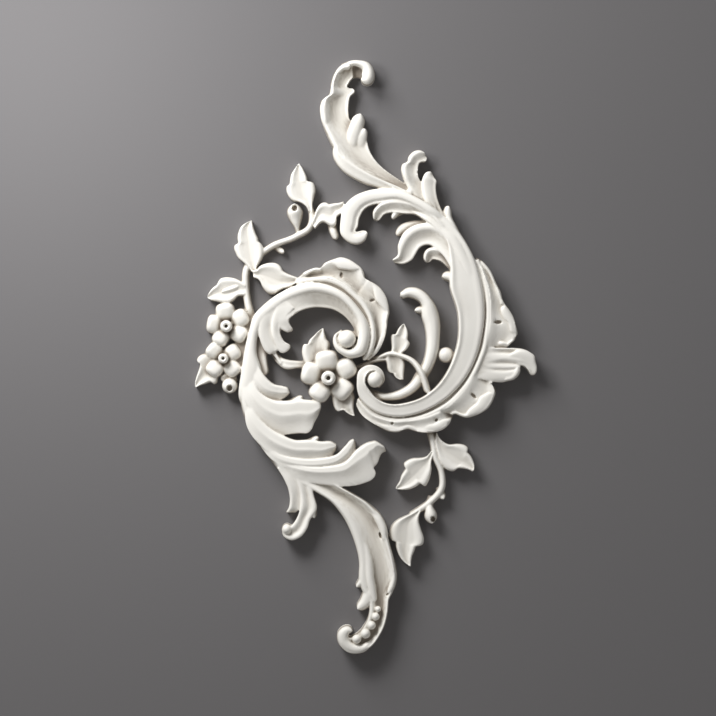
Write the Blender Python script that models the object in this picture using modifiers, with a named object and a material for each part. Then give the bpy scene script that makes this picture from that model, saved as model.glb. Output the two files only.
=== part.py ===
"""Rococo scroll ornament: one cast openwork relief, flat behind, made to be fixed to a wall.

Places and sizes below are in millimetres. x runs to the right and z up as seen from the front,
from the point behind the middle flower. Height is how far the carving stands out from the wall.
The front faces -Y and the flat back lies on y = 0.
"""
import bpy
import bmesh
import numpy as np
from mathutils import Matrix

MM = 0.001
STEP = 1.2            # spacing of the carved surface's points
BEHIND = 3.0          # how far every stroke runs back past the wall before the back is cut flat
VOXEL = 0.9           # grain of the pass that melts the strokes into one casting
KEEP = 0.0234         # share of the melted surface's faces that the faceted solid keeps
EDGE = 0.62           # height of a stroke's edge as a share of its crest
ROOT = 9              # length over which a stroke rises out of what it grows from
SUNK = 0.6            # height of a stroke's root as a share of its height further on

# How high the carving stands across a stroke: (place from first edge 0 to second edge 1, level)
DOME = ((0, 0), (0.1, 0.5), (0.25, 0.85), (0.5, 1), (0.75, 0.85), (0.9, 0.5), (1, 0))
CHANNEL = ((0, 0.5), (0.1, 0.95), (0.2, 0.9), (0.5, 0), (0.8, 0.9), (0.9, 0.95), (1, 0.5))
NEAR = ((0, 0.2), (0.12, 0.85), (0.25, 1), (0.45, 0.6), (0.75, 0.05), (1, 0.2))
FAR = tuple((1 - place, level) for place, level in reversed(NEAR))
BAND = ((0, 0.5), (0.1, 0.85), (0.3, 0.8), (0.55, 0.65), (0.8, 1), (0.9, 0.85), (1, 0.1))
HOLLOW = ((0, 1), (0.2, 0.5), (0.5, 0), (0.8, 0.25), (0.92, 0.6), (1, 0.3))
LEAF = ((0, 0), (0.1, 0.6), (0.3, 0.95), (0.42, 0.85), (0.5, 0.5),
        (0.58, 0.85), (0.7, 0.95), (0.9, 0.6), (1, 0))
DISH = ((0, 0.3), (0.08, 0.9), (0.16, 1), (0.35, 0.4), (0.55, 0.15), (0.8, 0.3), (0.93, 0.6), (1, 0.2))
FISH = ((0, 0.6), (0.12, 1), (0.3, 1), (0.42, 0.5), (0.6, 0.05), (0.85, 0.1), (0.95, 0.4), (1, 0.2))
FLAT = ((0, 0.6), (0.1, 0.95), (0.5, 1), (0.9, 0.95), (1, 0.6))


def read_curve(knots, values, places):
    """Values of the smooth curve that passes through the given values, at the given places."""
    knots = np.asarray(knots, float)
    values = np.asarray(values, float)
    slopes = np.gradient(values, knots, axis=0)
    low = np.clip(np.searchsorted(knots, places, side="right") - 1, 0, len(knots) - 2)
    span = knots[low + 1] - knots[low]
    part = (places - knots[low]) / span
    if values.ndim > 1:
        span = span[:, None]
        part = part[:, None]
    start = values[low] * (1 + 2 * part) * (1 - part) ** 2
    end = values[low + 1] * part ** 2 * (3 - 2 * part)
    lean = span * part * (1 - part) * (slopes[low] * (1 - part) - slopes[low + 1] * part)
    return start + end + lean


def along(stations):
    """The stations' values at even steps along the middle of the stroke."""
    table = np.asarray(stations, float)
    middle = (table[:, 0:2] + table[:, 2:4]) / 2
    gaps = np.linalg.norm(np.diff(middle, axis=0), axis=1)
    knots = np.concatenate([[0], np.cumsum(np.maximum(gaps, 0.5))])
    rows = max(4, int(round(knots[-1] / STEP)))
    return read_curve(knots, table, np.linspace(0, knots[-1], rows + 1))


def add_piece(cast, piece):
    """Put one finished stroke in with the others."""
    mesh = bpy.data.meshes.new("piece")
    piece.to_mesh(mesh)
    piece.free()
    cast.from_mesh(mesh)
    bpy.data.meshes.remove(mesh)


def raise_surface(cast, rows, section, edge, folds=(0, 0), root=ROOT):
    """A grid bent between two edges, raised to its section, with walls back past the wall."""
    left, right, height = rows[:, 0:2], rows[:, 2:4], rows[:, 4]
    if root:
        middle = (left + right) / 2
        grown = np.clip(np.linalg.norm(middle - middle[0], axis=1) / root, 0, 1)
        height = height * (SUNK + (1 - SUNK) * grown * grown * (3 - 2 * grown))
    widest = np.linalg.norm(left - right, axis=1).max()
    columns = max(6, int(round(widest / STEP)))
    places = np.linspace(0, 1, columns + 1)
    levels = read_curve(*zip(*section), places)
    piece = bmesh.new()
    bmesh.ops.create_grid(piece, x_segments=len(rows) - 1, y_segments=columns, size=1)
    fold_count, fold_depth = folds
    for vert in piece.verts:
        row = round((vert.co.x + 1) / 2 * (len(rows) - 1))
        column = round((vert.co.y + 1) / 2 * columns)
        x, z = left[row] + (right[row] - left[row]) * places[column]
        wave = np.sin(2 * np.pi * fold_count * row / (len(rows) - 1)) * places[column]
        top = height[row] * (edge + (1 - edge) * levels[column]) + fold_depth * wave
        vert.co = (x * MM, -top * MM, z * MM)
    extruded = bmesh.ops.extrude_face_region(piece, geom=piece.faces[:])["geom"]
    for vert in extruded:
        if isinstance(vert, bmesh.types.BMVert):
            vert.co.y = BEHIND * MM
    add_piece(cast, piece)


def blade(cast, stations, section=CHANNEL, edge=EDGE, folds=(0, 0), root=ROOT):
    """A stroke between two edges. Stations: first edge x, z, second edge x, z, height."""
    raise_surface(cast, along(stations), section, edge, folds, root)


def finger(cast, stations, section=DOME, edge=EDGE, round_tip=True, root=ROOT):
    """A stroke along a middle line. Stations: x, z, width, height. A width of 0 gives a point."""
    table = np.asarray(stations, float)
    rows = along(np.column_stack([table[:, 0:2], table[:, 0:2], table[:, 3], table[:, 2]]))
    spine, height, half = rows[:, 0:2], rows[:, 4], np.maximum(rows[:, 5], 0.2) / 2
    heading = np.gradient(spine, axis=0)
    heading /= np.linalg.norm(heading, axis=1)[:, None]
    side = np.column_stack([-heading[:, 1], heading[:, 0]])
    if round_tip:
        to_tip = np.linalg.norm(spine - spine[-1], axis=1)
        half = half * np.sqrt(np.clip(1 - (1 - np.minimum(to_tip / half, 1)) ** 2, 0.02, 1))
    left = spine + side * half[:, None]
    right = spine - side * half[:, None]
    raise_surface(cast, np.column_stack([left, right, height]), section, edge, root=root)


def dome(cast, x, z, radius_x, radius_z, base, top, turn=0, flat=1):
    """A rounded boss with straight walls: half a ball, flatter on top where flat is under 1."""
    ball = bmesh.new()
    bmesh.ops.create_uvsphere(ball, u_segments=20, v_segments=12, radius=1)
    shape = (Matrix.Translation((x * MM, -base * MM, z * MM))
             @ Matrix.Rotation(np.radians(-turn), 4, "Y")
             @ Matrix.Diagonal((radius_x * MM, (top - base) * MM, radius_z * MM, 1)))
    for vert in ball.verts:
        behind = vert.co.y > 0.001
        vert.co.y = -abs(vert.co.y) ** flat
        vert.co = shape @ vert.co
        if behind:
            vert.co.y = BEHIND * MM
    add_piece(cast, ball)


def torus_ring(cast, x, z, radius, thick, top):
    """The raised ring around a flower's eye."""
    turns = np.linspace(0, 2 * np.pi, 17)
    inner = radius - thick
    stations = [(x + radius * np.cos(turn), z + radius * np.sin(turn),
                 x + inner * np.cos(turn), z + inner * np.sin(turn), top) for turn in turns]
    blade(cast, stations, DOME, 0.85, root=0)


def flower(cast, x, z, eye, petals, top):
    """Five rounded petals about a ringed eye. Petals: offset x, z and half sizes along x and z."""
    for away_x, away_z, half_x, half_z in petals:
        dome(cast, x + away_x, z + away_z, half_x, half_z, top * 0.35, top, 0, 0.7)
    dome(cast, x, z, eye * 2.3, eye * 2.3, top * 0.3, top * 0.42)
    dome(cast, x, z, eye * 1.15, eye * 1.15, top * 0.6, top - 2)
    torus_ring(cast, x, z, eye, eye * 0.62, top + 1.5)


def lobe(cast, base, middle, tip, width, height, pointed=True):
    """One lobe of a leaf: a domed blade with a shallow midrib, pointed or rounded at its tip."""
    shape = ((0, 0.5), (0.5, 1), (1, 0.9))
    if pointed:
        shape = ((0, 0.45), (0.3, 0.9), (0.6, 1), (0.85, 0.55), (1, 0))
    reach = [part for part, _ in shape]
    share = [value for _, value in shape]
    spine = read_curve([0, 0.5, 1], [base, middle, tip], np.array(reach))
    stations = [(x, z, width * part, height) for (x, z), part in zip(spine, share)]
    finger(cast, stations, LEAF, 0.66, round_tip=not pointed, root=0)


def right_scroll(cast):
    """The great C-scroll on the right: band and lower volute, rim, inner hook, bead and sprig."""
    blade(cast, [(50, 128, 39, 118, 12), (72, 112.5, 62, 106.5, 15), (88, 96, 76, 91.5, 16),
                 (97, 80, 79, 75, 17), (102.5, 60, 81, 60, 17), (103.8, 42, 85.8, 43.5, 17),
                 (102, 27, 86.4, 29, 17), (96.8, 11.5, 83.5, 15, 16.5), (87, -4, 76.5, 0.5, 16.5),
                 (74.5, -15.8, 67, -9.8, 16), (57, -23.8, 55, -15.6, 16), (42, -24.8, 42, -17.4, 16),
                 (30, -20, 33.5, -14.6, 16.5), (21.5, -11.5, 28, -9, 17), (18.8, -3, 24.6, -3, 18),
                 (20.3, 4.8, 25.2, 1.5, 18), (25.5, 8.4, 27.5, 4.2, 17), (31.5, 8.2, 31.2, 4.8, 16),
                 (36, 4.8, 34.5, 2.6, 15), (37.5, -1.5, 35.8, -1.5, 14), (33.5, -6.9, 33.5, -6, 13)],
          BAND, 0.7)
    dome(cast, 30.8, -0.8, 5.6, 5.6, 12, 19)
    finger(cast, [(99.5, 80, 3, 11), (104, 68, 4.5, 12), (107, 55, 4.5, 12), (108.2, 42, 4.5, 12),
                  (106.5, 28, 4.5, 12), (102, 14, 4.5, 12), (95, 1.5, 4.5, 12), (84.5, -11.5, 4.5, 12),
                  (72, -21.5, 4.5, 12), (58, -27.3, 4.5, 12), (43, -28.2, 4.5, 12), (29, -23.5, 4.5, 12),
                  (19, -13.5, 4, 11)])
    finger(cast, [(98.5, 77, 4, 8), (103, 62, 8, 8), (104.5, 40, 8, 8), (100, 17, 8, 8),
                  (91, 0, 8, 8), (76.5, -15.5, 8, 8), (57, -25, 7, 8), (43, -25.8, 7, 8),
                  (30, -21, 8, 8), (21, -12, 6, 8)], FLAT)
    blade(cast, [(28, -7.5, 30, -13, 12), (41, -10.2, 43, -15, 12), (53, -3.5, 57, -8.5, 12),
                 (60.9, 8.3, 68, 4, 13), (64.5, 24, 74, 24, 14), (63, 37.5, 73.8, 38, 14),
                 (60, 46, 69.5, 50.5, 14), (55.5, 52.8, 61, 59.2, 13), (50.5, 53.2, 53.5, 60.6, 12),
                 (48, 54.4, 48.6, 57.8, 11)], DOME, 0.6)
    finger(cast, [(67, 40, 6, 12), (62, 44, 5, 12), (57.6, 44.8, 1.5, 11)])
    dome(cast, 78.3, 15.4, 5.3, 5.3, 8, 13)
    finger(cast, [(27, 11, 2.5, 9), (34, 14.3, 2.6, 10), (41, 17, 3, 11), (48, 15.5, 3.2, 12),
                  (56, 11.5, 3.4, 14), (62.5, 3, 4, 16), (66.5, -8, 4.5, 15)])
    finger(cast, [(17, 6, 3, 9), (25, 9.5, 2.6, 9), (31, 11.5, 2.6, 9), (39, 12.6, 2.6, 9)])
    lobe(cast, (47, 15), (47.4, 26), (50.3, 36.7), 10, 10)
    lobe(cast, (46, 16), (44.3, 22), (43.7, 29.5), 5.5, 10, False)
    lobe(cast, (48, 16), (51, 20), (54.2, 24), 6.5, 9.5)
    lobe(cast, (46.5, 16), (46.4, 7.5), (49.6, -1.5), 9.5, 9)
    lobe(cast, (42, 16), (41, 10), (42.2, 3.4), 7, 9, False)


def right_ruffle(cast):
    """The frilled shell edge outside the right scroll, with the ribbed fan at its middle."""
    blade(cast, [(92, 87, 94, 87, 9), (98, 78, 101.2, 78, 10), (100.5, 72, 106.4, 72.6, 10),
                 (102.5, 63, 111.5, 63.5, 10), (103.8, 54, 115.5, 55, 10.5), (104.3, 46, 119.5, 46.5, 10.5),
                 (104, 38, 124.3, 38, 11), (103.5, 31, 126, 29, 10.5), (102, 24, 122.5, 23.7, 10),
                 (101, 20, 119, 18, 9)], CHANNEL, 0.7, (4, 1.6))
    blade(cast, [(98.5, 12, 112, 3, 9), (95, 5, 110.5, -4, 9.5), (91.5, -1, 111.3, -9, 10),
                 (87, -7, 108, -18, 10), (82, -12, 98, -24, 10), (77, -16.5, 90, -26, 10),
                 (73, -19, 84, -23.9, 9.5)], CHANNEL, 0.7, (2.5, 1.6))
    blade(cast, [(78, -15, 83, -24.5, 9.5), (74, -18, 80.5, -30, 10), (68, -21.5, 73, -34.7, 10.5),
                 (62, -24, 63, -35.9, 10), (55, -26, 54.5, -34.2, 9.5), (47, -26.5, 46, -35.8, 10),
                 (39, -25.5, 38, -34.3, 9.5), (31, -22, 29, -29.3, 9), (24.5, -17, 23, -25, 9),
                 (19.5, -10, 17.5, -15, 9)], CHANNEL, 0.7, (5, 1.4))
    finger(cast, [(108, 25, 10, 7), (106, 12, 12, 7), (102, -6, 10, 7)], FLAT)
    finger(cast, [(103, 15, 5, 10), (120, 17, 5, 10.5), (130, 16.3, 5.2, 10), (137.6, 12.6, 2.5, 9)])
    finger(cast, [(102, 11, 5, 10), (120, 12, 5, 10.5), (131, 11.5, 5.5, 10), (136, 8, 4.6, 9.5),
                  (137.6, 2.2, 1.8, 9)])
    finger(cast, [(100, 6.5, 5, 10), (113, 6.8, 5, 10.5), (122, 5.8, 5, 10), (128.2, 4.8, 3, 9)])
    finger(cast, [(98, 1, 5.5, 10), (110, 1.5, 5.5, 10), (118, 0.6, 4.6, 9.5), (125, 0.9, 2, 9)])


def left_scroll(cast):
    """The stalk on the left that rises into the smaller C-scroll, its volute and its inner leaves."""
    blade(cast, [(-56, -22, -40, -14, 10), (-60, -11, -44, 1, 13), (-58, 5, -45, 7, 14),
                 (-55.5, 21, -48, 18, 14),
                 (-53, 31, -47, 29, 14), (-49.5, 42, -42, 39, 14.5), (-42, 50, -36, 44, 15),
                 (-33.5, 56, -29, 49.5, 15.5), (-22, 61.5, -19.5, 54, 16.5), (-10, 63.6, -9, 56.5, 17),
                 (0, 61.9, -1.5, 55.5, 17), (10, 57.1, 6, 52.8, 17), (19.3, 48, 14, 46, 17),
                 (25.8, 37, 19, 37.5, 17), (27.3, 26, 19.6, 26.5, 17), (23.5, 15.5, 17.5, 21.5, 17),
                 (15, 13.2, 14, 19, 17), (7, 16.7, 9.8, 20.2, 17), (3, 23, 6.3, 24, 16),
                 (3.6, 28.5, 6, 28, 15), (8.5, 32.5, 8.8, 31, 14)], DOME, 0.8)
    blade(cast, [(-34, 36, -24.6, 32, 11), (-34.5, 43, -26.8, 38.8, 13), (-30, 49.5, -21, 43.5, 14.5),
                 (-19.5, 54.5, -12, 46.8, 15), (-8.5, 57, -2.5, 46.8, 15), (6, 53.5, 5.5, 44.6, 15),
                 (14.5, 46.5, 12, 39.8, 15), (20, 37, 17, 32.5, 15), (20, 28, 17.5, 27, 14)], HOLLOW, 0.75)
    blade(cast, [(-47, 26, -41, 24, 8), (-46.5, 35, -40, 31, 11), (-41, 44, -35.5, 40, 13),
                 (-31, 51, -28, 47, 14)], DOME, 0.8)
    finger(cast, [(-24, 54, 5, 13), (-33, 47, 6.5, 14), (-38.5, 39, 6.5, 13), (-40.5, 30, 7, 12),
                  (-40.5, 22, 6.5, 11), (-39.3, 16.2, 3.5, 10)])
    finger(cast, [(-22, 52, 5, 13), (-30, 45, 6, 14), (-34.5, 37, 6.5, 13), (-35, 28, 6.5, 12),
                  (-31.5, 21.5, 7, 11), (-26, 19, 4.5, 10)])
    dome(cast, 12.5, 25, 9, 9, 6, 10)
    dome(cast, 12.1, 26, 6.2, 6.2, 12, 19.5)
    finger(cast, [(-44, 34, 5, 6), (-45.5, 24, 6, 6), (-46, 12, 5, 6), (-42, 2, 5, 6)])
    finger(cast, [(-35, 18, 4, 8), (-33, 12, 4.5, 8), (-29, 9.2, 6, 8), (-22, 9, 4.8, 8),
                  (-12, 9, 5, 9)], FLAT)


def left_ruffle(cast):
    """The frilled shell edge outside the left scroll, with its rounded inner rim."""
    blade(cast, [(-20, 62, -20, 65.5, 9), (-14, 63, -13.5, 71.5, 10), (-6, 62.5, -5.5, 73.2, 10),
                 (0, 61.5, 0, 78, 10), (7, 59, 9.5, 79.8, 10.5), (12, 55.5, 20.5, 73.5, 10),
                 (17, 51, 24, 67, 10), (21, 46, 32, 61.5, 10.5), (25, 40, 38.5, 52.5, 10),
                 (27.5, 34, 39.6, 43, 10), (28, 28, 38.7, 33, 9.5), (27, 21, 35.5, 23.5, 9),
                 (24, 15, 30, 14.5, 9), (19, 12.5, 20, 9.2, 9)], CHANNEL, 0.7, (6, 1.6))
    finger(cast, [(-17, 65.5, 3, 11), (-8, 66.3, 4, 12), (0, 65.5, 4, 12), (9, 62.5, 4, 12),
                  (18, 56, 4, 12), (25, 47.5, 4, 12), (29.8, 37, 4, 12), (30.5, 27, 4, 12),
                  (28, 17, 4, 11), (24, 12.5, 3, 10)])
    finger(cast, [(-17, 64, 4, 8), (0, 62.8, 7, 8), (15, 54, 8, 8), (24, 42.5, 8, 8), (28.3, 30, 8, 8),
                  (25, 15, 7, 8)], FLAT)


def top_leaves(cast):
    """The tall hooked leaf at the top, the curled leaves inside it and the sprouts outside."""
    blade(cast, [(60, 112, 66, 118, 10), (30, 127.6, 47, 131.6, 12), (16, 132.8, 34, 141.5, 12),
                 (5, 143.5, 28, 151, 12), (1, 156, 25.7, 160.5, 12), (-3, 167, 22, 167.5, 12),
                 (-5.5, 178, 14, 173, 12), (-4.4, 185, 14, 184, 11.5), (-0.5, 188.3, 12.5, 190, 11)],
          DISH, 0.7)
    blade(cast, [(-2, 174, 13.8, 172, 11), (-0.5, 188, 12.5, 190, 12), (2, 198, 14.8, 197.6, 12),
                 (7, 207.5, 17.3, 200, 12.5), (14, 211.5, 19.5, 201, 12.5), (22, 211.5, 21.5, 202, 12.5),
                 (28.7, 207, 23, 202, 12.5), (30.8, 201, 24, 201, 12.5)], DISH, 0.7)
    dome(cast, 25.3, 201, 5.6, 5.8, 8, 14)
    finger(cast, [(22, 150, 7, 12), (18.5, 162, 7, 12), (19, 169, 8, 12), (20.8, 176.2, 7.5, 11.5)])
    finger(cast, [(22, 150, 8, 11), (22.6, 159, 6.6, 11.5), (25.2, 166.2, 3, 10)])
    finger(cast, [(8, 178, 9, 11), (12, 186, 8.4, 11), (16.8, 190.6, 5, 10)])
    finger(cast, [(44, 122, 4, 11), (24, 130.7, 4.4, 11), (10, 140.3, 4.4, 11), (5, 151, 4, 10.5)])
    blade(cast, [(62, 117, 60, 111, 10), (46, 125.5, 44, 118, 13), (37, 126.3, 34, 116.5, 13),
                 (27, 125.2, 28, 115, 12.5), (17, 121.2, 23.5, 112, 12.5), (10.5, 114.5, 20.5, 106.5, 12),
                 (8, 105, 19.7, 101.5, 12), (9, 94.5, 18, 98, 12), (14, 90.3, 18.8, 97.5, 12),
                 (19.5, 89.2, 20.5, 97.8, 12), (24.5, 92, 23, 98.4, 11.5), (26.2, 96.5, 25, 98.2, 11)],
          FAR, 0.7)
    blade(cast, [(84, 98, 78, 93, 10), (68, 111.5, 65, 106, 13.5), (60, 115.8, 58, 109, 13.5),
                 (50, 118.8, 50, 109.7, 13), (40, 118.8, 42, 110.5, 12.5), (33.5, 116, 37, 109.2, 12),
                 (29.5, 110.5, 33.8, 105.5, 11), (29.8, 106.4, 31.8, 104.8, 10.5)], NEAR, 0.7)
    finger(cast, [(50, 113, 6, 12), (45, 110, 5, 11), (42.4, 106.2, 2, 10)])
    blade(cast, [(92, 84, 88, 72, 12), (80, 98.5, 74, 85, 14.5), (70, 103, 67, 88.8, 14),
                 (58, 102, 61, 87, 13.5), (50, 96.5, 58, 82.5, 13), (46.4, 89, 55.5, 78.7, 12),
                 (46, 82, 49.5, 76.2, 11), (42.6, 79, 44, 76.9, 10)], FISH, 0.7)
    finger(cast, [(70, 102.5, 4, 10), (57, 103, 5, 9.5), (49, 99.5, 6, 9), (45.3, 95.3, 3, 8.5)])
    finger(cast, [(94, 72, 8, 12), (84, 77.5, 10, 14), (74, 82.8, 8.4, 13), (67.6, 82.7, 7.6, 12),
                  (65.4, 77.2, 4.4, 11.5)], FAR, 0.7)
    finger(cast, [(90, 66, 11, 14), (83, 67.5, 8, 13), (75.8, 67.6, 5, 12)])
    finger(cast, [(66, 112, 10, 9), (58, 126, 10.5, 12), (54.8, 137, 8.8, 12), (56.3, 145.5, 8, 11.5),
                  (60.5, 148.3, 7.4, 11), (65.6, 146.8, 5.4, 10.5)], FAR)
    finger(cast, [(56, 128, 6, 9), (51.6, 137, 6, 11), (51.2, 144.3, 4, 10)])
    finger(cast, [(73, 104, 10, 9), (67.5, 120, 11, 12), (65.5, 129, 8, 12), (67.2, 137.8, 5.6, 11)], DISH)
    finger(cast, [(76, 106, 6, 9), (70.5, 122, 5.5, 11), (71, 132.6, 2.4, 10)], round_tip=False)
    finger(cast, [(83.5, 92, 10, 9), (81, 104, 8, 12), (79.7, 114.8, 5, 11)])


def acanthus(cast):
    """The broad acanthus leaf on the left: rim, four hollowed lobes and their side tips."""
    finger(cast, [(-56.5, -4, 6, 13), (-55.2, -19, 6.5, 13), (-51.5, -29, 7, 13), (-45.5, -40, 7, 13),
                  (-37.5, -50.5, 7, 13), (-29.5, -61.5, 7, 12.5), (-23.5, -73, 6, 12), (-23, -84, 5, 11)])
    blade(cast, [(-48, 14, -57, 8, 14), (-42.5, 1.5, -54, -6, 14.5), (-36.5, -4, -46, -12.5, 14),
                 (-30.5, -5.4, -37, -15, 13), (-27, -6.8, -30, -13.7, 12), (-26, -9.5, -26.6, -11, 10)], NEAR)
    blade(cast, [(-50, 6, -58, -6, 14), (-46, -9, -52, -19, 16), (-37, -14.5, -42, -26.5, 16),
                 (-28, -15.2, -31, -30, 15.5), (-20, -14, -19, -32, 14), (-12, -14.7, -10.5, -30, 13),
                 (-7, -15.6, -6.3, -26, 12), (-5, -18, -5.3, -22, 11)], NEAR)
    finger(cast, [(-27, -18, 6, 13), (-21.5, -14.8, 5, 12), (-17.3, -11.8, 1.5, 10.5)], round_tip=False)
    finger(cast, [(-54, -12, 8, 13), (-46, -25, 9, 14.5), (-36, -31, 9, 14), (-27, -32.3, 9, 13.5),
                  (-18, -33, 8.4, 12.5), (-10.5, -33, 3.5, 11)])
    blade(cast, [(-53, -12, -57, -20, 13), (-47.5, -25, -52, -34, 15), (-38, -34, -42.5, -45, 16),
                 (-28.5, -39, -30, -52, 16), (-22, -41.3, -22, -54, 16), (-12, -41.2, -12, -55, 15.5),
                 (-4.5, -42.3, -3.5, -54.3, 14.5), (1.8, -42.3, 2.2, -51.8, 13),
                 (5.2, -44.3, 4.8, -48.3, 12)], NEAR)
    finger(cast, [(-15, -44, 5, 13), (-10.5, -41.5, 4.6, 12.5), (-6.3, -39, 1.8, 11)], round_tip=False)
    blade(cast, [(-35, -48, -38, -56, 10), (-18, -53, -26, -70, 11), (-5, -54, -8, -74, 11),
                 (8, -52, 8, -71.2, 11), (18, -47, 22, -69.6, 10.5), (29, -44, 31.4, -63, 10)], FLAT)
    finger(cast, [(-36, -50, 7, 13), (-18, -56, 8, 15), (-5, -56.3, 8, 15), (5, -53.6, 8, 14),
                  (12, -48.5, 7.5, 13), (16.8, -41, 4, 12)])
    blade(cast, [(-42.5, -43.5, -44, -45.5, 13), (-31, -55, -35, -57.5, 15), (-16, -58.5, -20, -64.5, 16),
                 (0, -58.6, 0, -67, 16), (12, -55.5, 14, -66, 15.5), (19.5, -47, 26, -61, 14.5),
                 (24.5, -43.6, 32.5, -55, 13.5), (31, -42, 35, -51, 12.5), (37, -45.4, 38.6, -48.8, 11)],
          NEAR)
    blade(cast, [(-40, -52, -36, -57, 11), (-22, -64.5, -27, -71, 13), (-5, -66.5, -8, -75, 13),
                 (10, -65.5, 10, -72, 12.5), (22, -62.5, 22, -70.6, 12), (29, -60.5, 28.5, -68, 11),
                 (31.5, -62, 31.5, -64.8, 10.5)], NEAR)


def lower_leaves(cast):
    """The small hooked leaf and the long beaded leaf that hang below the acanthus."""
    blade(cast, [(-37, -54, -28, -50, 11), (-31, -63, -21, -63, 12), (-26, -75, -18.5, -76, 12),
                 (-25.8, -82, -19, -83, 11.5),
                 (-27, -87.5, -20, -88, 11), (-28.5, -89.6, -22, -89.8, 10)], NEAR)
    blade(cast, [(-30, -53, -20, -52, 11), (-23, -63, -11, -67, 12), (-18.8, -76, -9.5, -79, 12),
                 (-18.8, -86, -7.9, -88, 12),
                 (-20.5, -92, -12.2, -94.6, 11), (-23, -96.5, -14.5, -101, 11),
                 (-24.8, -98.3, -18.5, -106, 11), (-26, -98.8, -24.5, -108.3, 11),
                 (-27.5, -99.5, -30.4, -105, 11), (-28, -100, -31.2, -101, 11)])
    dome(cast, -27.8, -100.8, 3.5, 3.8, 8, 13)
    finger(cast, [(-12.5, -83, 6, 11), (-10.6, -88.5, 5, 11), (-9.5, -94, 2, 10)])
    blade(cast, [(-26, -66, -22, -58, 11), (-17, -71, -9, -62, 12), (-8, -76.3, 5, -70, 13),
                 (1, -82.3, 16, -78.2, 13),
                 (7.5, -89.6, 26.5, -86, 13), (13.3, -99.3, 36, -97, 13), (17.5, -110, 39.5, -107, 13),
                 (20.3, -123, 43.6, -123, 13), (20.3, -134.5, 45.3, -134, 12.5), (22.5, -142, 43, -142.8, 12),
                 (26.5, -148, 40.4, -148, 12), (27.3, -153, 40, -153, 12), (26.2, -159.5, 39, -159.5, 12),
                 (22.5, -166.5, 35.5, -169.5, 12), (20, -169.3, 28.5, -179.2, 12),
                 (17.5, -171.5, 20, -183.7, 12), (15.5, -172.5, 12.8, -183, 12),
                 (13.5, -172.5, 7.2, -177.5, 12), (13, -171, 6.2, -171.5, 12)])
    finger(cast, [(27, -100, 4, 10), (29.5, -112, 4.4, 12), (28.3, -122, 4.4, 13), (29.5, -133, 4.4, 13),
                  (32, -146, 4, 12)], DOME, 0.4)
    finger(cast, [(25, -130, 7, 12), (22.5, -136.5, 6, 11.5), (18.2, -139.6, 1.5, 10)], round_tip=False)
    finger(cast, [(31, -138, 12, 12), (26, -148.5, 10, 11.5), (18.8, -154.6, 5, 10.5)])
    dome(cast, 12.2, -170.8, 6, 5.8, 8, 13)
    for x, z, radius in [(33, -154.5, 1.8), (31.3, -159.6, 2.5), (28.4, -165.2, 2.7), (24.4, -170.6, 3.1),
                         (18.4, -174, 3)]:
        dome(cast, x, z, radius, radius, 9, 9 + radius * 1.2)


def lower_vine(cast):
    """The ivy spray at the lower right: bent stem, three leaves and a bud."""
    finger(cast, [(67, -32, 5, 9), (70, -45, 4.4, 8), (71, -52, 4.2, 8), (75.5, -63, 4.4, 8),
                  (75.5, -74, 4.6, 8), (69, -82, 4.6, 8), (60, -88.5, 4.4, 8), (54, -92, 4, 8)])
    finger(cast, [(74, -76, 3.5, 8), (79, -79.8, 3, 7)])
    finger(cast, [(69, -83, 3.5, 7.5), (68.5, -90, 3.5, 7)])
    dome(cast, 68.7, -92.3, 4.2, 4.6, 6, 10)
    lobe(cast, (70, -37), (83, -50), (97.7, -62), 14, 9)
    lobe(cast, (71, -36), (79, -43.5), (93, -47.6), 10, 8.5, False)
    lobe(cast, (71, -40), (75.5, -51), (81.5, -62), 11, 8.5, False)
    lobe(cast, (70, -49), (59, -63), (44.4, -74), 15, 9)
    lobe(cast, (69, -49), (60, -54.5), (50.2, -58.6), 10, 8.5, False)
    lobe(cast, (70, -51), (66, -62), (63.2, -72), 9, 8.5, False)
    lobe(cast, (61, -87), (52.5, -103), (55, -126.5), 13, 9)
    lobe(cast, (61, -88), (50, -97), (43.5, -108.7), 11, 8.5, False)
    lobe(cast, (60, -88), (60.3, -99), (60.5, -111), 8, 8.5, False)


def middle_flower(cast):
    """The large flower in the middle with its two leaves."""
    flower(cast, 0, 0, 4.7, [(-1.5, 11.3, 7.7, 7), (11.6, 6.3, 6.4, 7.2), (9, -7.3, 7.3, 7),
                             (-5.5, -9, 7.2, 6.6), (-11.7, 3, 6.4, 7.8)], 17)
    lobe(cast, (-3, 8), (-6, 20), (-2, 33.8), 13, 11)
    lobe(cast, (-8, 8), (-12, 15), (-14, 23.3), 9.5, 10, False)
    lobe(cast, (9, -6), (13, -16), (18.2, -26), 10.5, 11)
    lobe(cast, (5, -8), (5.5, -15), (6.8, -22.9), 8, 10, False)


def left_flowers(cast):
    """The two small flowers, the bud and the leaf outside the stalk on the left."""
    flower(cast, -68, 34.5, 3.9, [(-1, 9.8, 6.3, 5.8), (9.2, 5.3, 5.7, 6.3), (8.7, -5, 5.1, 6.2),
                                  (-4, -7.7, 5.6, 5.4), (-8.8, 1.5, 4.5, 6.7)], 13.5)
    flower(cast, -70, 13, 3.3, [(-6.5, 5.3, 5.2, 5.8), (6.3, 4, 5.2, 5.6), (6, -6.7, 5.2, 6),
                                (-6, -6.7, 5.2, 5.9)], 13.5)
    finger(cast, [(-55, 46, 8, 8), (-57, 30, 8, 7), (-60, 16, 8, 7), (-62, 2, 7, 7)], FLAT)
    lobe(cast, (-74, 12), (-84, 5), (-88.7, -6.8), 11, 8)
    lobe(cast, (-74, 10), (-80, 13), (-86.8, 12.5), 8, 8, False)
    finger(cast, [(-62, 2, 8, 7.5), (-72, -1, 7, 7.5), (-84, -5, 3, 7)], FLAT, root=0)
    dome(cast, -66, -5.2, 5.2, 5.2, 7, 12.5)


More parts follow.
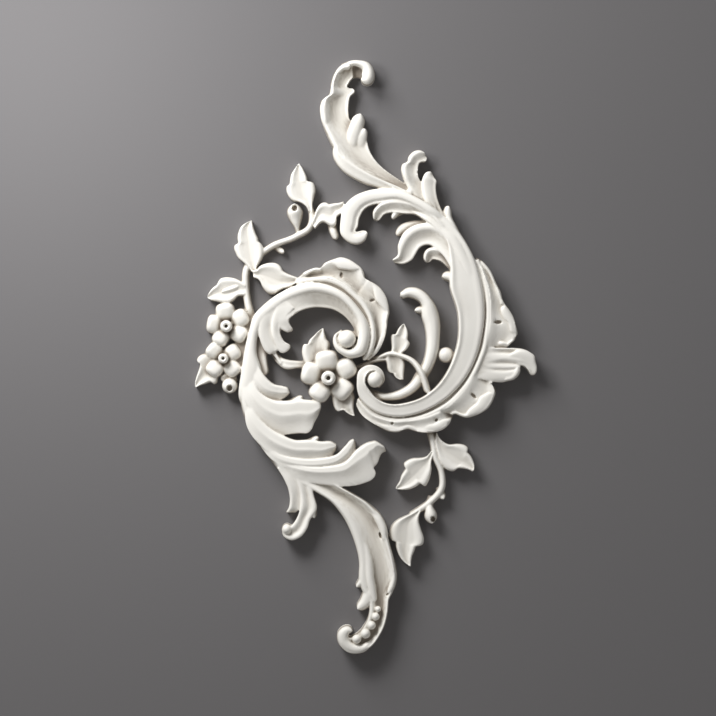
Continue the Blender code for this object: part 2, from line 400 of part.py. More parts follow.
def upper_vine(cast):
    """The ivy spray at the upper left: upright stem, branch to the top leaf, six leaves and a bud."""
    finger(cast, [(-51, 38, 6, 10), (-54, 50, 5, 8.5), (-55.5, 62, 5, 8), (-55, 72, 5, 8), (-51, 80, 5, 8)])
    finger(cast, [(-53, 72, 4, 8), (-45, 83, 4.2, 8), (-38, 88, 4.2, 8), (-22, 94.5, 4.2, 8),
                  (-12.5, 101, 4.4, 8), (-11.5, 111, 4.2, 8), (-15, 118, 4, 8)])
    finger(cast, [(-36, 88, 3.5, 7.5), (-29.5, 83.6, 3.6, 7)])
    finger(cast, [(-20.5, 96, 3.5, 7.5), (-22.3, 104, 3.5, 7)])
    dome(cast, -22.5, 109.5, 5.2, 6.4, 6, 11)
    lobe(cast, (-13, 116), (-18.7, 129), (-19.4, 143.8), 12.5, 9)
    lobe(cast, (-14, 116), (-21, 122), (-26.3, 129), 9, 8.5, False)
    lobe(cast, (-12, 112), (-12.5, 123), (-11.6, 131), 7.5, 8.5, False)
    lobe(cast, (-11, 102), (-4, 111.5), (-3, 117.3), 9, 9, False)
    lobe(cast, (-11, 104), (-1, 112), (11, 118.2), 10, 9)
    lobe(cast, (-11, 101), (-2, 107), (4.8, 102.5), 8, 9, False)
    lobe(cast, (1, 105), (4, 98), (6, 91), 5.4, 8, False)
    lobe(cast, (-51, 74), (-55, 91), (-50.3, 105.3), 14.5, 9)
    lobe(cast, (-51, 76), (-57, 82), (-62.8, 87.8), 8.5, 8.5, False)
    lobe(cast, (-50, 76), (-48.5, 84), (-45.8, 91), 8, 8.5, False)
    lobe(cast, (-53, 69), (-42, 70.5), (-31, 72.8), 12, 9, False)
    lobe(cast, (-50, 70), (-35, 65.5), (-19.5, 65.5), 11, 9, False)
    lobe(cast, (-50, 69), (-41.5, 64), (-37, 56), 12, 8.5, False)
    lobe(cast, (-55, 60), (-65, 59), (-81, 52), 12, 9)
    lobe(cast, (-56, 61), (-65, 62.5), (-74, 64.3), 9, 8.5, False)
    lobe(cast, (-56, 59), (-65, 55.5), (-77, 52.7), 9, 8.5, False)
    finger(cast, [(-60, 57, 3, 8), (-55.5, 54, 3.4, 9), (-53, 45, 3.4, 9)])


def cast_ornament(collection):
    """Melt all the strokes into one casting, thin its facets and cut its back flat."""
    cast = bmesh.new()
    for carve in (right_scroll, right_ruffle, left_scroll, left_ruffle, top_leaves, acanthus,
                  lower_leaves, lower_vine, middle_flower, left_flowers, upper_vine):
        carve(cast)
    mesh = bpy.data.meshes.new("scroll_ornament")
    cast.to_mesh(mesh)
    cast.free()
    ornament = bpy.data.objects.new("scroll_ornament", mesh)
    collection.objects.link(ornament)
    melt = ornament.modifiers.new("melt", "REMESH")
    melt.mode = "VOXEL"
    melt.voxel_size = VOXEL * MM
    thin = ornament.modifiers.new("thin", "DECIMATE")
    thin.ratio = KEEP
    return ornament


def cut_back(ornament, cutters):
    """Take away all that lies behind the wall plane."""
    bpy.ops.mesh.primitive_cube_add(size=1, location=(0, 0.05, 0))
    block = bpy.context.object
    block.name = "wall_block"
    block.scale = (0.6, 0.1, 0.8)
    block.hide_render = True
    block.display_type = "WIRE"
    for owner in block.users_collection:
        owner.objects.unlink(block)
    cutters.objects.link(block)
    flat = ornament.modifiers.new("flat back", "BOOLEAN")
    flat.operation = "DIFFERENCE"
    flat.solver = "EXACT"
    flat.object = block


def resin(name):
    """Off-white cast resin, softly matt."""
    material = bpy.data.materials.new(name)
    material.use_nodes = True
    shader = material.node_tree.nodes["Principled BSDF"]
    shader.inputs["Base Color"].default_value = (0.78, 0.76, 0.71, 1)
    shader.inputs["Roughness"].default_value = 0.62
    shader.inputs["Metallic"].default_value = 0.0
    return material


def main():
    for old in list(bpy.data.objects):
        bpy.data.objects.remove(old, do_unlink=True)
    parts = bpy.data.collections.new("relief_ornament")
    cutters = bpy.data.collections.new("cutters")
    bpy.context.scene.collection.children.link(parts)
    bpy.context.scene.collection.children.link(cutters)
    ornament = cast_ornament(parts)
    cut_back(ornament, cutters)
    ornament.data.materials.append(resin("cast_resin"))


main()
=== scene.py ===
# %% [markdown]
# # A white rococo scroll ornament
# The real object is one openwork relief, poured in off-white resin into a soft open mould. Its back is flat,
# so that it can be glued to a wall, a door or a drawer front. Everything in front is carving: two C-scrolls,
# leaves that grow out of them, frilled shell edges, flowers and sprays of ivy.
#
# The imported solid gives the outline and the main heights. This script dresses it with the fine carving, a
# resin finish, soft light and a camera that stands where the photograph was taken.

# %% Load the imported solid
import bpy
import numpy as np
from math import atan2, degrees, radians
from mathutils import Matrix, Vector


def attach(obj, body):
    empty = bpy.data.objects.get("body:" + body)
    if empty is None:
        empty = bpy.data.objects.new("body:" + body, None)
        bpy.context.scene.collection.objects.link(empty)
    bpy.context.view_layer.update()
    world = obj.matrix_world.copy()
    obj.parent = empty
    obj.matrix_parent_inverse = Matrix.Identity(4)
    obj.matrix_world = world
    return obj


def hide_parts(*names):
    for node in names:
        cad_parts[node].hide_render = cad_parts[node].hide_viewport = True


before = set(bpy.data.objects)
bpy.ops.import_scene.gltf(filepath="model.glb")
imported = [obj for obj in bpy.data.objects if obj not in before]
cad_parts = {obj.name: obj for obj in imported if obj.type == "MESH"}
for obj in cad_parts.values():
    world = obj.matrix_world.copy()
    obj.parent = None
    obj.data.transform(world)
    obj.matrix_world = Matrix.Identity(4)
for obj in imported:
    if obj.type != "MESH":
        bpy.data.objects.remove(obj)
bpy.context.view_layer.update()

# %% [markdown]
# ## Sizes
# All drawing below is in millimetres: x to the right, z up, from the point behind the middle flower. Height
# is how far the carving stands out from the wall. Blender works in metres, so MM turns one into the other.

# %% Sizes shared by the whole carving
MM = 0.001
STEP = 0.7            # spacing of a stroke's points
BEHIND = 3.0          # how far each stroke runs back past the wall, before the back is cut flat
GRAIN = 0.5           # grain of the pass that melts the strokes into one casting
FACES = 190000        # triangles kept in the finished casting
EDGE = 0.66           # height at a section's level 0 as a share of the crest
ROOT = 9              # length over which a stroke rises out of what it grows from
SUNK = 0.6            # height of a stroke's root as a share of its height further on
EASE = 1.5            # power that makes a section open gently along its stroke
LEAST_GAP = 0.5       # least distance counted between two stations
LEAST_ROWS = 4        # least rows of points along a stroke
LEAST_COLUMNS = 6     # least columns of points across a stroke
THINNEST = 0.2        # least width of a finger
BLUNT = 0.02          # what a finger's round tip keeps of its width, squared
SIDES = 36            # sides of a boss or an eye
print("points every", STEP, "mm, melted at", GRAIN, "mm")

# %% [markdown]
# ## The carver's gouges
# A carver cuts a long leaf with a few gouges, and each leaves its own hollow. Here every stroke has a section
# in the same way: pairs of a place across the stroke, from its first edge at 0 to its second at 1, and a
# level, from the hollow at 0 to the crest at 1. The same few sections are used all over the ornament, which
# is what makes it look as if one hand had carved it.

# %% Sections across a stroke
DOME = ((0, 0), (0.1, 0.5), (0.25, 0.85), (0.5, 1), (0.75, 0.85), (0.9, 0.5), (1, 0))
CHANNEL = ((0, 0.5), (0.1, 0.95), (0.2, 0.9), (0.5, 0), (0.8, 0.9), (0.9, 0.95), (1, 0.5))
NEAR = ((0, 0.2), (0.12, 0.85), (0.25, 1), (0.45, 0.6), (0.75, 0.1), (1, 0.25))
FAR = tuple((1 - place, level) for place, level in reversed(NEAR))
BAND = ((0, 0), (0.04, 0.42), (0.1, 0.6), (0.3, 0.66), (0.6, 0.76), (0.82, 0.84), (0.9, 1), (0.95, 0.98),
        (1, 0.4))
HOLLOW = ((0, 1), (0.15, 0.82), (0.5, 0.38), (0.84, 0.05), (0.93, 0.06), (0.98, 0.06), (1, 0))
DISH = ((0, 0.2), (0.06, 0.85), (0.13, 1), (0.22, 0.8), (0.35, 0.45), (0.5, 0.18), (0.65, 0.05), (0.8, 0.03),
        (0.93, 0.08), (0.97, 0.18), (1, 0.1))
FISH = ((0, 0.6), (0.12, 1), (0.3, 1), (0.42, 0.5), (0.6, 0.08), (0.85, 0.05), (0.95, 0.2), (1, 0.05))
LIP = ((0, 0.3), (0.07, 0.8), (0.18, 0.9), (0.34, 0.9), (0.43, 1), (0.53, 0.78), (0.66, 0.4), (0.82, 0.14),
       (1, 0.05))
LONG = ((0, 0.45), (0.07, 0.85), (0.16, 0.9), (0.33, 0.5), (0.5, 0.14), (0.66, 0.1), (0.8, 0.5), (0.9, 0.95),
        (0.96, 1), (1, 0.4))
FLAT = ((0, 0.6), (0.1, 0.95), (0.5, 1), (0.9, 0.95), (1, 0.6))
CUPPED = ((0, 0.25), (0.06, 0.85), (0.13, 1), (0.32, 0.62), (0.46, 0.46), (0.5, 0.4), (0.54, 0.46),
          (0.7, 0.66), (0.87, 1), (0.94, 0.88), (1, 0.25))
FRILL = ((0, 1), (0.12, 0.8), (0.3, 0.4), (0.5, 0.15), (0.68, 0.1), (0.84, 0.3), (1, 0.45))
SHELF = ((0, 1), (0.08, 0.6), (0.18, 0.28), (0.3, 0.12), (0.5, 0.2), (0.75, 0.5), (1, 0.7))
RISE = ((0, 0), (0.1, 0.25), (0.5, 0.6), (0.85, 0.95), (0.93, 1), (1, 0.9))
LOBE = ((0, 0.2), (0.2, 0.75), (0.45, 1), (0.8, 0.95), (0.93, 0.8), (1, 0.35))
OUTER = ((0, 0.3), (0.08, 0.8), (0.2, 0.95), (0.52, 1), (0.68, 0.85), (0.8, 0.42), (0.88, 0.35), (0.95, 0.5),
         (1, 0.3))
BULGE = ((0, 0.3), (0.2, 0.9), (0.4, 1), (0.7, 0.6), (1, 0))
SLOPE = ((0, 0.5), (0.1, 0.9), (0.25, 1), (0.55, 0.8), (0.85, 0.45), (0.95, 0.5), (1, 0.3))
LONG_LIP = ((0, 0.3), (0.06, 0.8), (0.14, 0.9), (0.24, 0.92), (0.3, 1), (0.38, 0.84), (0.55, 0.52), (0.75, 0.25),
            (0.9, 0.1), (1, 0))
FOLD_ABOVE = ((0, 0.4), (0.06, 0.6), (0.14, 0.25), (0.3, 0.15), (0.42, 0.75), (0.55, 1), (0.8, 0.95), (0.92, 0.5),
              (1, 0.3))
FOLD_BELOW = ((0, 0.4), (0.12, 0.85), (0.28, 0.9), (0.37, 0.5), (0.45, 0.85), (0.7, 1), (0.85, 0.8), (1, 0.3))
print("points in the section of the dish:", len(DISH), "and of the band:", len(BAND))

# %% [markdown]
# ## One stroke
# A stroke is drawn as a few stations, each with a point on its first edge, a point on its second edge and a
# height. It could be a curve with a bevel, but a bevelled curve has the same section all the way along and
# can't widen on one side only. So each stroke starts as a grid, its points are laid between the two drawn
# edges and raised to the section, and then it is extruded and flattened on to a plane behind the wall, which
# closes it. A smooth curve through the stations keeps the edges flowing.

# %% Draw one stroke
def read_curve(knots, values, places):
    """Values of the smooth curve that passes through the given values, at the given places."""
    knots = np.asarray(knots, float)
    values = np.asarray(values, float)
    slopes = np.gradient(values, knots, axis=0)
    low = np.clip(np.searchsorted(knots, places, side="right") - 1, 0, len(knots) - 2)
    span = knots[low + 1] - knots[low]
    part = (places - knots[low]) / span
    if values.ndim > 1:
        span = span[:, None]
        part = part[:, None]
    start = values[low] * (1 + 2 * part) * (1 - part) ** 2
    end = values[low + 1] * part ** 2 * (3 - 2 * part)
    lean = span * part * (1 - part) * (slopes[low] * (1 - part) - slopes[low + 1] * part)
    return start + end + lean


def along(stations):
    """The stations' values at even steps along the stroke, by the mean move of its two edges."""
    table = np.asarray(stations, float)
    moves = np.diff(table[:, 0:4], axis=0)
    gaps = (np.hypot(moves[:, 0], moves[:, 1]) + np.hypot(moves[:, 2], moves[:, 3])) / 2
    knots = np.concatenate([[0], np.cumsum(np.maximum(gaps, LEAST_GAP))])
    rows = max(LEAST_ROWS, int(round(knots[-1] / STEP)))
    return read_curve(knots, table, np.linspace(0, knots[-1], rows + 1))


def close_behind(edge_plane):
    """In edit mode: run the selected open surface back to a plane across Y, which closes it."""
    bpy.ops.mesh.extrude_region_move()
    bpy.ops.transform.resize(value=(1, 0, 1), center_override=(0, edge_plane, 0))


def lay_stroke(rows, section, edge, folds, root, fade=0):
    """A grid primitive bent between its two edges, raised to its section and closed behind.

    Folds are a count and a depth, of ripples that grow towards the second edge. Over the length root the
    stroke rises out of what it grows from, and over the length fade its section opens out of a flat one.
    """
    left, right, height = rows[:, 0:2], rows[:, 2:4], rows[:, 4]
    away = np.linalg.norm((left + right - left[0] - right[0]) / 2, axis=1)
    if root:
        grown = np.clip(away / root, 0, 1)
        height = height * (SUNK + (1 - SUNK) * grown * grown * (3 - 2 * grown))
    opened = np.clip(away / fade, 0, 1) ** EASE if fade else np.ones(len(rows))
    columns = max(LEAST_COLUMNS, int(round(np.linalg.norm(left - right, axis=1).max() / STEP)))
    bpy.ops.object.select_all(action="DESELECT")
    bpy.ops.mesh.primitive_grid_add(x_subdivisions=len(rows) - 1, y_subdivisions=columns, size=2)
    stroke = bpy.context.object
    points = np.empty(len(stroke.data.vertices) * 3)
    stroke.data.vertices.foreach_get("co", points)
    points = points.reshape(-1, 3)
    row = np.rint((points[:, 0] + 1) / 2 * (len(rows) - 1)).astype(int)
    column = np.rint((points[:, 1] + 1) / 2 * columns).astype(int)
    place = column / columns
    level = read_curve(*zip(*section), np.linspace(0, 1, columns + 1))[column]
    flat = left[row] + (right[row] - left[row]) * place[:, None]
    fold_count, fold_depth = folds
    wave = np.sin(2 * np.pi * fold_count * row / (len(rows) - 1)) * place
    top = height[row] * (1 - (1 - edge) * (1 - level) * opened[row]) + fold_depth * wave
    stroke.data.vertices.foreach_set("co", (np.column_stack([flat[:, 0], -top, flat[:, 1]]) * MM).ravel())
    bpy.ops.object.mode_set(mode="EDIT")
    bpy.ops.mesh.select_all(action="SELECT")
    close_behind(BEHIND * MM)
    bpy.ops.object.mode_set(mode="OBJECT")
    strokes.append(stroke)


def blade(stations, section=CHANNEL, edge=EDGE, folds=(0, 0), root=ROOT, fade=0):
    """A stroke between two edges. Stations: first edge x, z, second edge x, z, height."""
    lay_stroke(along(stations), section, edge, folds, root, fade)


def finger(stations, section=DOME, edge=EDGE, root=ROOT):
    """A stroke along a middle line, with a round tip. Stations: x, z, width, height."""
    table = np.asarray(stations, float)
    rows = along(np.column_stack([table[:, 0:2], table[:, 0:2], table[:, 3], table[:, 2]]))
    spine, height, half = rows[:, 0:2], rows[:, 4], np.maximum(rows[:, 5], THINNEST) / 2
    heading = np.gradient(spine, axis=0)
    heading /= np.linalg.norm(heading, axis=1)[:, None]
    side = np.column_stack([-heading[:, 1], heading[:, 0]])
    to_tip = np.linalg.norm(spine - spine[-1], axis=1)
    half = half * np.sqrt(np.clip(1 - (1 - np.minimum(to_tip / half, 1)) ** 2, BLUNT, 1))
    left = spine + side * half[:, None]
    right = spine - side * half[:, None]
    lay_stroke(np.column_stack([left, right, height]), section, edge, (0, 0), root)


LEAF_EDGE = 0.74      # height of an ivy leaf's hollow as a share of its crest


def leaf(stations, height):
    """An ivy leaf between its two lobed outlines, from stalk to tip. Stations: left x, z, right x, z."""
    rows = [(*station, height) for station in stations]
    lay_stroke(along(rows), CUPPED, LEAF_EDGE, (0, 0), 0)


strokes = []
print("rows of points in a stroke 70 mm long:", len(along([(0, 0, 0, 8, 9), (70, 0, 70, 8, 9)])))

# %% [markdown]
# ## Bosses, beads and eyes
# Buds, beads, the balls inside the volutes and the petals are all rounded lumps. On a casting none of them can
# be undercut, or it wouldn't leave the mould, so a whole ball would be wrong. One boss is modelled by hand: a
# ball cut in half, its rim extruded straight back and filled. Every lump is a copy of it, with its own mesh.
# The eye of a flower is a short round rod with its edge rounded over and a hole sunk in it.

# %% Model one boss and one eye, and copy them
def start_shape(name):
    """The primitive that was just added, named and opened in edit mode."""
    shape = bpy.context.object
    shape.name = name
    bpy.ops.object.mode_set(mode="EDIT")
    return shape


bpy.ops.object.select_all(action="DESELECT")
bpy.ops.mesh.primitive_uv_sphere_add(segments=SIDES, ring_count=24, radius=1, rotation=(radians(90), 0, 0))
bpy.ops.object.transform_apply(location=False, rotation=True, scale=False)
boss = start_shape("boss")
bpy.ops.mesh.select_all(action="SELECT")
bpy.ops.mesh.bisect(plane_co=(0, 0, 0), plane_no=(0, 1, 0), clear_outer=True)
bpy.ops.mesh.select_all(action="DESELECT")
bpy.ops.mesh.select_non_manifold()
close_behind(1)
bpy.ops.mesh.edge_face_add()
bpy.ops.object.mode_set(mode="OBJECT")

HOLE = 0.32           # radius of an eye's hole as a share of the eye's own
SHOULDER = 0.22       # width of its rounded edge, as such a share
RING = 0.25           # width of the ring inside that, as such a share
bpy.ops.object.select_all(action="DESELECT")
bpy.ops.mesh.primitive_cylinder_add(vertices=SIDES, radius=1, depth=2, rotation=(radians(90), 0, 0))
bpy.ops.object.transform_apply(location=False, rotation=True, scale=False)
eye = start_shape("eye")
bpy.ops.mesh.select_all(action="DESELECT")
bpy.ops.object.mode_set(mode="OBJECT")
for face in eye.data.polygons:
    face.select = face.normal.y < -0.9
bpy.ops.object.mode_set(mode="EDIT")
bpy.ops.mesh.inset(thickness=SHOULDER, depth=0.2)
bpy.ops.mesh.inset(thickness=RING, depth=0.06)
bpy.ops.mesh.inset(thickness=1 - SHOULDER - RING - HOLE, depth=-0.14)
bpy.ops.mesh.extrude_region_move(TRANSFORM_OT_translate={"value": (0, 0.9, 0)})
bpy.ops.object.mode_set(mode="OBJECT")
print("boss:", len(boss.data.polygons), "faces; eye:", len(eye.data.polygons), "faces")

SQUARE = 3            # power that makes a petal squarer than a circle
FALL = 3.2            # power that keeps a petal flat until close to its edge
PLUMP = 0.6           # power that rounds its shoulder
LEAN = 0.2            # how far it slopes down to the eye, as a share of its height
SEAT = 2.2            # radius of the low seat round an eye, in eye radii
PROUD = 2             # how far an eye stands out in front of its petals


def place_copy(shape, x, z, radius_x, radius_z, base, top, turn=0, cushion=False):
    """A copy of the boss or the eye, its front half between the heights base and top."""
    mesh = shape.data.copy()
    points = np.empty(len(mesh.vertices) * 3)
    mesh.vertices.foreach_get("co", points)
    points = points.reshape(-1, 3)
    ahead = np.clip(-points[:, 1], 0, None)
    if cushion:
        reach = np.hypot(points[:, 0], points[:, 2])
        square = (np.abs(points[:, 0]) ** SQUARE + np.abs(points[:, 2]) ** SQUARE) ** (1 / SQUARE)
        lean = 1 - LEAN + LEAN * points[:, 2]
        ahead = np.where(ahead > 0, np.clip(1 - reach ** FALL, 0, 1) ** PLUMP * lean, 0)
        points[:, [0, 2]] *= (reach / np.maximum(square, 1e-6))[:, None]
    depth = np.where(points[:, 1] > 0.001, BEHIND, -base - (top - base) * ahead)
    angle = radians(turn)
    across = points[:, 0] * radius_x
    up = points[:, 2] * radius_z
    place_x = x + across * np.cos(angle) - up * np.sin(angle)
    place_z = z + across * np.sin(angle) + up * np.cos(angle)
    mesh.vertices.foreach_set("co", (np.column_stack([place_x, depth, place_z]) * MM).ravel())
    lump = bpy.data.objects.new(shape.name + "_copy", mesh)
    bpy.context.collection.objects.link(lump)
    strokes.append(lump)


def dome(x, z, radius_x, radius_z, base, top, turn=0, cushion=False):
    """A rounded boss with straight walls. A cushion is squarer, flatter and leans inwards."""
    place_copy(boss, x, z, radius_x, radius_z, base, top, turn, cushion)


def flower(x, z, radius, petals, top):
    """Cushion petals about a ringed eye. Petals: offset x, z, half width and half length outwards."""
    for away_x, away_z, half_wide, half_long in petals:
        outwards = degrees(atan2(away_z, away_x)) - 90
        dome(x + away_x, z + away_z, half_wide, half_long, top * 0.5, top, outwards, True)
    dome(x, z, radius * SEAT, radius * SEAT, top * 0.3, top * 0.45)
    place_copy(eye, x, z, radius, radius, top * 0.7, top + PROUD)


# %% [markdown]
# ## The great scroll on the right
# A broad band sweeps down from the top leaves and rolls up in a volute with a ball in it. Outside it runs a
# narrow rim, and the deep groove between the two throws the darkest line of the whole ornament, so they are
# two strokes with a low floor between them. Inside it stand a curved hook, a bead and a sprig of ivy.

# %% Right scroll
blade([(50, 128, 39, 118, 9), (72, 112.5, 62, 106.5, 14), (88, 96, 78, 92, 15.5), (97, 80, 81, 76, 16.5),
       (102.5, 60, 81, 60, 17), (103.8, 42, 85.8, 43.5, 17), (102, 27, 86.4, 29, 17),
       (97.4, 11.2, 83.5, 15, 16.5), (87.9, -4.6, 76.5, 0.5, 16.5), (75, -16.2, 67, -9.8, 16),
       (57, -24.4, 55, -15.6, 16), (42, -25.6, 42, -17.4, 16), (30, -21.8, 33.5, -14.6, 16.5),
       (20.6, -12.8, 28, -9, 17), (18.8, -3, 24.6, -3, 18), (20.3, 4.8, 25.2, 1.5, 18),
       (25.5, 8.4, 27.5, 4.2, 17), (31.5, 8.2, 31.2, 4.8, 16), (36, 4.8, 34.5, 2.6, 15),
       (37.5, -1.5, 35.8, -1.5, 14), (33.5, -6.9, 33.5, -6, 13)], BAND, 0.8, root=30)
dome(30.8, -0.8, 5.6, 5.6, 12, 19)
finger([(99.4, 79, 2, 12), (103, 68, 3, 13.6), (105.4, 60, 3.8, 14.2), (106.7, 50, 4.2, 14.4),
        (106.8, 40, 4.2, 14.4), (105.6, 30, 4.2, 14.4), (104.1, 21, 4.2, 14.4), (100.5, 11, 4.2, 14.4),
        (94.7, -0.7, 4.2, 14.4), (86.9, -10.9, 4.2, 14.4), (79.9, -17.4, 4, 14.2), (72.7, -21.7, 3.8, 14),
        (58, -27.1, 3.6, 13.8), (43, -28.1, 3.6, 13.4), (29.7, -23.8, 3.6, 13), (20, -14, 3, 12)], DOME, 0.84)
finger([(98.2, 78.6, 4, 13), (103, 62, 8, 13), (104.5, 40, 8, 12), (100, 17, 8, 12), (91, 0, 8, 12),
        (76.5, -15.5, 8, 12), (57, -25, 7, 11.6), (43, -25.8, 7, 11.6), (30, -21, 8, 11.6), (21, -12, 6, 11)],
       FLAT, 0.9, root=0)
blade([(28, -7, 29.5, -14, 12), (36, -9.8, 37, -15, 12), (45.4, -8.6, 48.5, -14.2, 12),
       (53.8, -3.5, 59.2, -8.2, 12.5), (58, 3.1, 67, 1.9, 13), (62, 9.1, 70.5, 8.5, 13.5),
       (64.2, 16, 73.2, 17, 14), (65, 25.9, 74.4, 27.7, 14), (63.8, 35, 74.6, 36, 14),
       (62, 41, 73.4, 43.5, 14), (62, 48, 70, 51, 14), (60, 51, 65.5, 56.5, 13.5), (56.2, 53, 60.5, 59.8, 13),
       (52.5, 53.7, 55.6, 60.8, 12.5), (49.5, 52.9, 51.5, 60, 12), (47.8, 54, 48, 57.5, 11)], DOME, 0.66)
finger([(67, 42, 7, 12.5), (61.5, 45.4, 5.4, 12), (57.4, 45, 3.4, 11)])
dome(78.3, 15.4, 5.3, 5.3, 8, 14)
finger([(27, 11, 2.5, 9), (34, 14, 2.8, 10), (41, 16.3, 3.2, 11), (48, 15, 3.4, 12), (56, 11.2, 4, 14),
        (61.5, 4, 4.6, 16), (66.5, -10, 4.8, 15)])
finger([(17, 6, 3, 9), (25, 9.5, 2.6, 9), (31, 11.5, 2.6, 9), (39, 12.6, 2.6, 9)])
leaf([(43, 15.5, 47, 15), (41.9, 18, 49.6, 17.1), (42.1, 20.5, 52, 18.8), (41.9, 23, 53.5, 20.8),
      (41.6, 25.5, 54.3, 22.6), (41.6, 27.7, 54, 24), (42.4, 29.3, 52.9, 25.4), (44.4, 29.1, 53, 27.5),
      (45.7, 31.4, 53.1, 30), (47.2, 33.8, 52.5, 32.5), (49.2, 35.7, 51.4, 34.7), (50.4, 36.4, 50.7, 36.1)],
     10)
leaf([(38.5, 14.5, 46, 15), (38, 12, 49.5, 12.5), (38.8, 9.5, 51, 9.5), (39.1, 6.5, 50.8, 6.5),
      (40, 4.2, 50.5, 4), (41.6, 3.2, 50.3, 2.5), (43, 3.4, 50.2, 1.5), (43.9, 1.3, 50.1, 0.5),
      (45.7, -0.4, 50.1, -0.4), (47.7, -1.2, 50.1, -1.1)], 9.5)
print("right scroll:", len(strokes), "strokes so far")

# %% [markdown]
# ## The frilled edges
# Outside both scrolls runs a shell edge, as on a scallop: it falls from the rim into a soft hollow and rolls up
# again into a bright wavy lip. It could be one grid with a wave along it, but the real lip swells and thins
# unevenly. So the hollow is three broad strokes with a slight ripple, and each roll of the lip is a stroke of
# its own along their outer edge.

# %% Right frill
blade([(98.5, 80, 99.6, 79.8, 13.1), (100.8, 76, 104, 75.5, 14), (103.8, 68, 108.6, 69.5, 14.4),
       (106.6, 60, 112, 61.5, 14.6), (107.8, 52, 115.4, 53, 14.6), (108, 46, 119.2, 46.5, 14.6),
       (108, 40, 122.8, 40.5, 14.6), (107.4, 34, 124.8, 34, 14.6), (106.4, 29, 125.3, 28.5, 14.4),
       (105.6, 24, 121.5, 23.8, 14), (105.2, 21, 119.4, 21.4, 13.6)], FRILL, 0.78, (3, 0.7))
blade([(104.9, 22, 109.6, 20.5, 13.4), (103.4, 16, 107.2, 12.8, 13), (100.6, 8.5, 106.2, 4, 13.2),
       (97.2, 2, 108.4, -3, 14), (94.6, -2, 110.6, -8, 14.6), (91, -7.5, 109.4, -13.5, 14.6),
       (87.2, -12, 105, -20.5, 14.6), (83.2, -16, 97, -25, 14.6), (80, -18.8, 90, -25.6, 14.4),
       (77.2, -20.8, 84.4, -23.8, 14), (75.4, -21.8, 82.4, -24.4, 13.6)], FRILL, 0.78, (2, 0.6))
blade([(80.4, -18.6, 82.6, -24.4, 13.6), (76.4, -21.4, 80.8, -29.6, 14.2), (70.8, -24.2, 74.4, -34.6, 14.4),
       (65, -26.4, 66, -36, 14.4), (58, -28, 60, -35.8, 14.2), (50, -29, 53, -33.8, 14),
       (43, -29, 45, -35.6, 14.2), (35.5, -27.2, 36, -33.4, 14), (29, -24.4, 28, -29.2, 13.6),
       (23.4, -19.2, 21.5, -23.8, 13.2), (19.4, -13.6, 18.4, -17.6, 12.6)], FRILL, 0.86, (4, 0.4))
for lip in [
    [(98.6, 80.8, 98.4, 79, 11.6), (104, 76.6, 102.8, 74.4, 12.8), (108.4, 71, 106.6, 69.6, 13),
     (110.9, 65.6, 109, 64.6, 13), (112.8, 61.4, 110.8, 60, 12.8), (114.9, 57.4, 112.8, 56.6, 12.8),
     (115.9, 53, 114, 52.6, 12.8), (117, 49.6, 114.6, 49, 12.8)],
    [(115.6, 52, 114.2, 50, 12), (117.6, 49, 114.6, 46.2, 13), (120.2, 45.8, 115.2, 43, 13.5),
     (122.6, 42, 116.8, 39.8, 13.6), (124.2, 38, 119.8, 36.4, 13.6), (125.2, 34.2, 120.6, 33.4, 13.4),
     (126, 30.6, 121.2, 31, 13), (126, 28.8, 123.4, 29.6, 12.4)],
    [(126, 29, 124.6, 28.6, 12.2), (124.4, 25.4, 122.8, 26.2, 12.4), (121.4, 22.8, 120.4, 24.2, 12.4),
     (119.8, 21, 118.6, 22.4, 12)],
    [(111, -5.6, 108.6, -6.4, 12.4), (111.6, -9, 107.4, -8.8, 13), (110.6, -12.6, 104, -10.8, 13.4),
     (109, -16.4, 101, -12.6, 13.6), (106, -20.6, 98.6, -16.8, 13.6), (101.8, -23.4, 95.4, -19.4, 13.4),
     (97, -25.4, 93, -21.6, 13.2), (92, -26.5, 91.2, -24.2, 12.8), (87.6, -25.4, 87.8, -23.4, 12.6),
     (84.4, -24.1, 84.4, -22, 12.4), (82.4, -24.6, 82, -22.6, 12)],
    [(83, -24.4, 81.4, -24.6, 12), (82.2, -27.4, 79.4, -26.8, 12.8), (80.2, -31, 76, -27.6, 13.2),
     (77.2, -33.8, 73, -29, 13.4), (73.6, -35.4, 70, -30.4, 13.4), (66.4, -36.4, 66, -31, 13.2),
     (62.6, -36.4, 62.4, -33, 12.8), (60, -36.1, 59.4, -33.4, 12.8), (56.6, -35.2, 56.4, -32, 12.8),
     (53, -34.1, 52.6, -31.2, 12.8), (49.8, -34.8, 49.4, -32.2, 12.8), (46.6, -36, 46.4, -32.8, 13),
     (41, -35.8, 42.2, -31.6, 13), (35, -33.3, 36.4, -30.8, 12.8), (30, -30.3, 31, -28.4, 12.4),
     (25, -27.3, 26, -25.4, 12), (21, -23.3, 22, -21.4, 11.6), (18.5, -18.8, 19.4, -17.2, 11)],
]:
    blade(lip, LOBE, 0.84, root=5)
finger([(107, 23, 2.6, 11.4), (112, 23.2, 3.2, 12.6), (117, 22.8, 3.2, 12.8), (119.8, 21.4, 2.6, 12.2)],
       DOME, 0.8)
finger([(101.5, 0.6, 3, 11.6), (105, -1.4, 4.4, 12.6), (109, -3.2, 5, 12.9)], DOME, 0.8)
finger([(109.8, 35.6, 1.2, 11.4), (112.6, 34.5, 1.6, 12), (115.6, 35.6, 1.6, 12), (116.6, 38, 1, 11.6)],
       DOME, 0.8)
print("right frill:", len(strokes), "strokes so far")

# %% [markdown]
# ## The fan on the right
# Half way down, the frill is drawn out into a small fan of two folded lobes. Its ridges run on into the rim, so
# each lobe starts flush with the frill and its hollows only open further out. One lobe could be a copy of the
# other, but the upper one is longer and hooks down at its tip, so both are drawn.

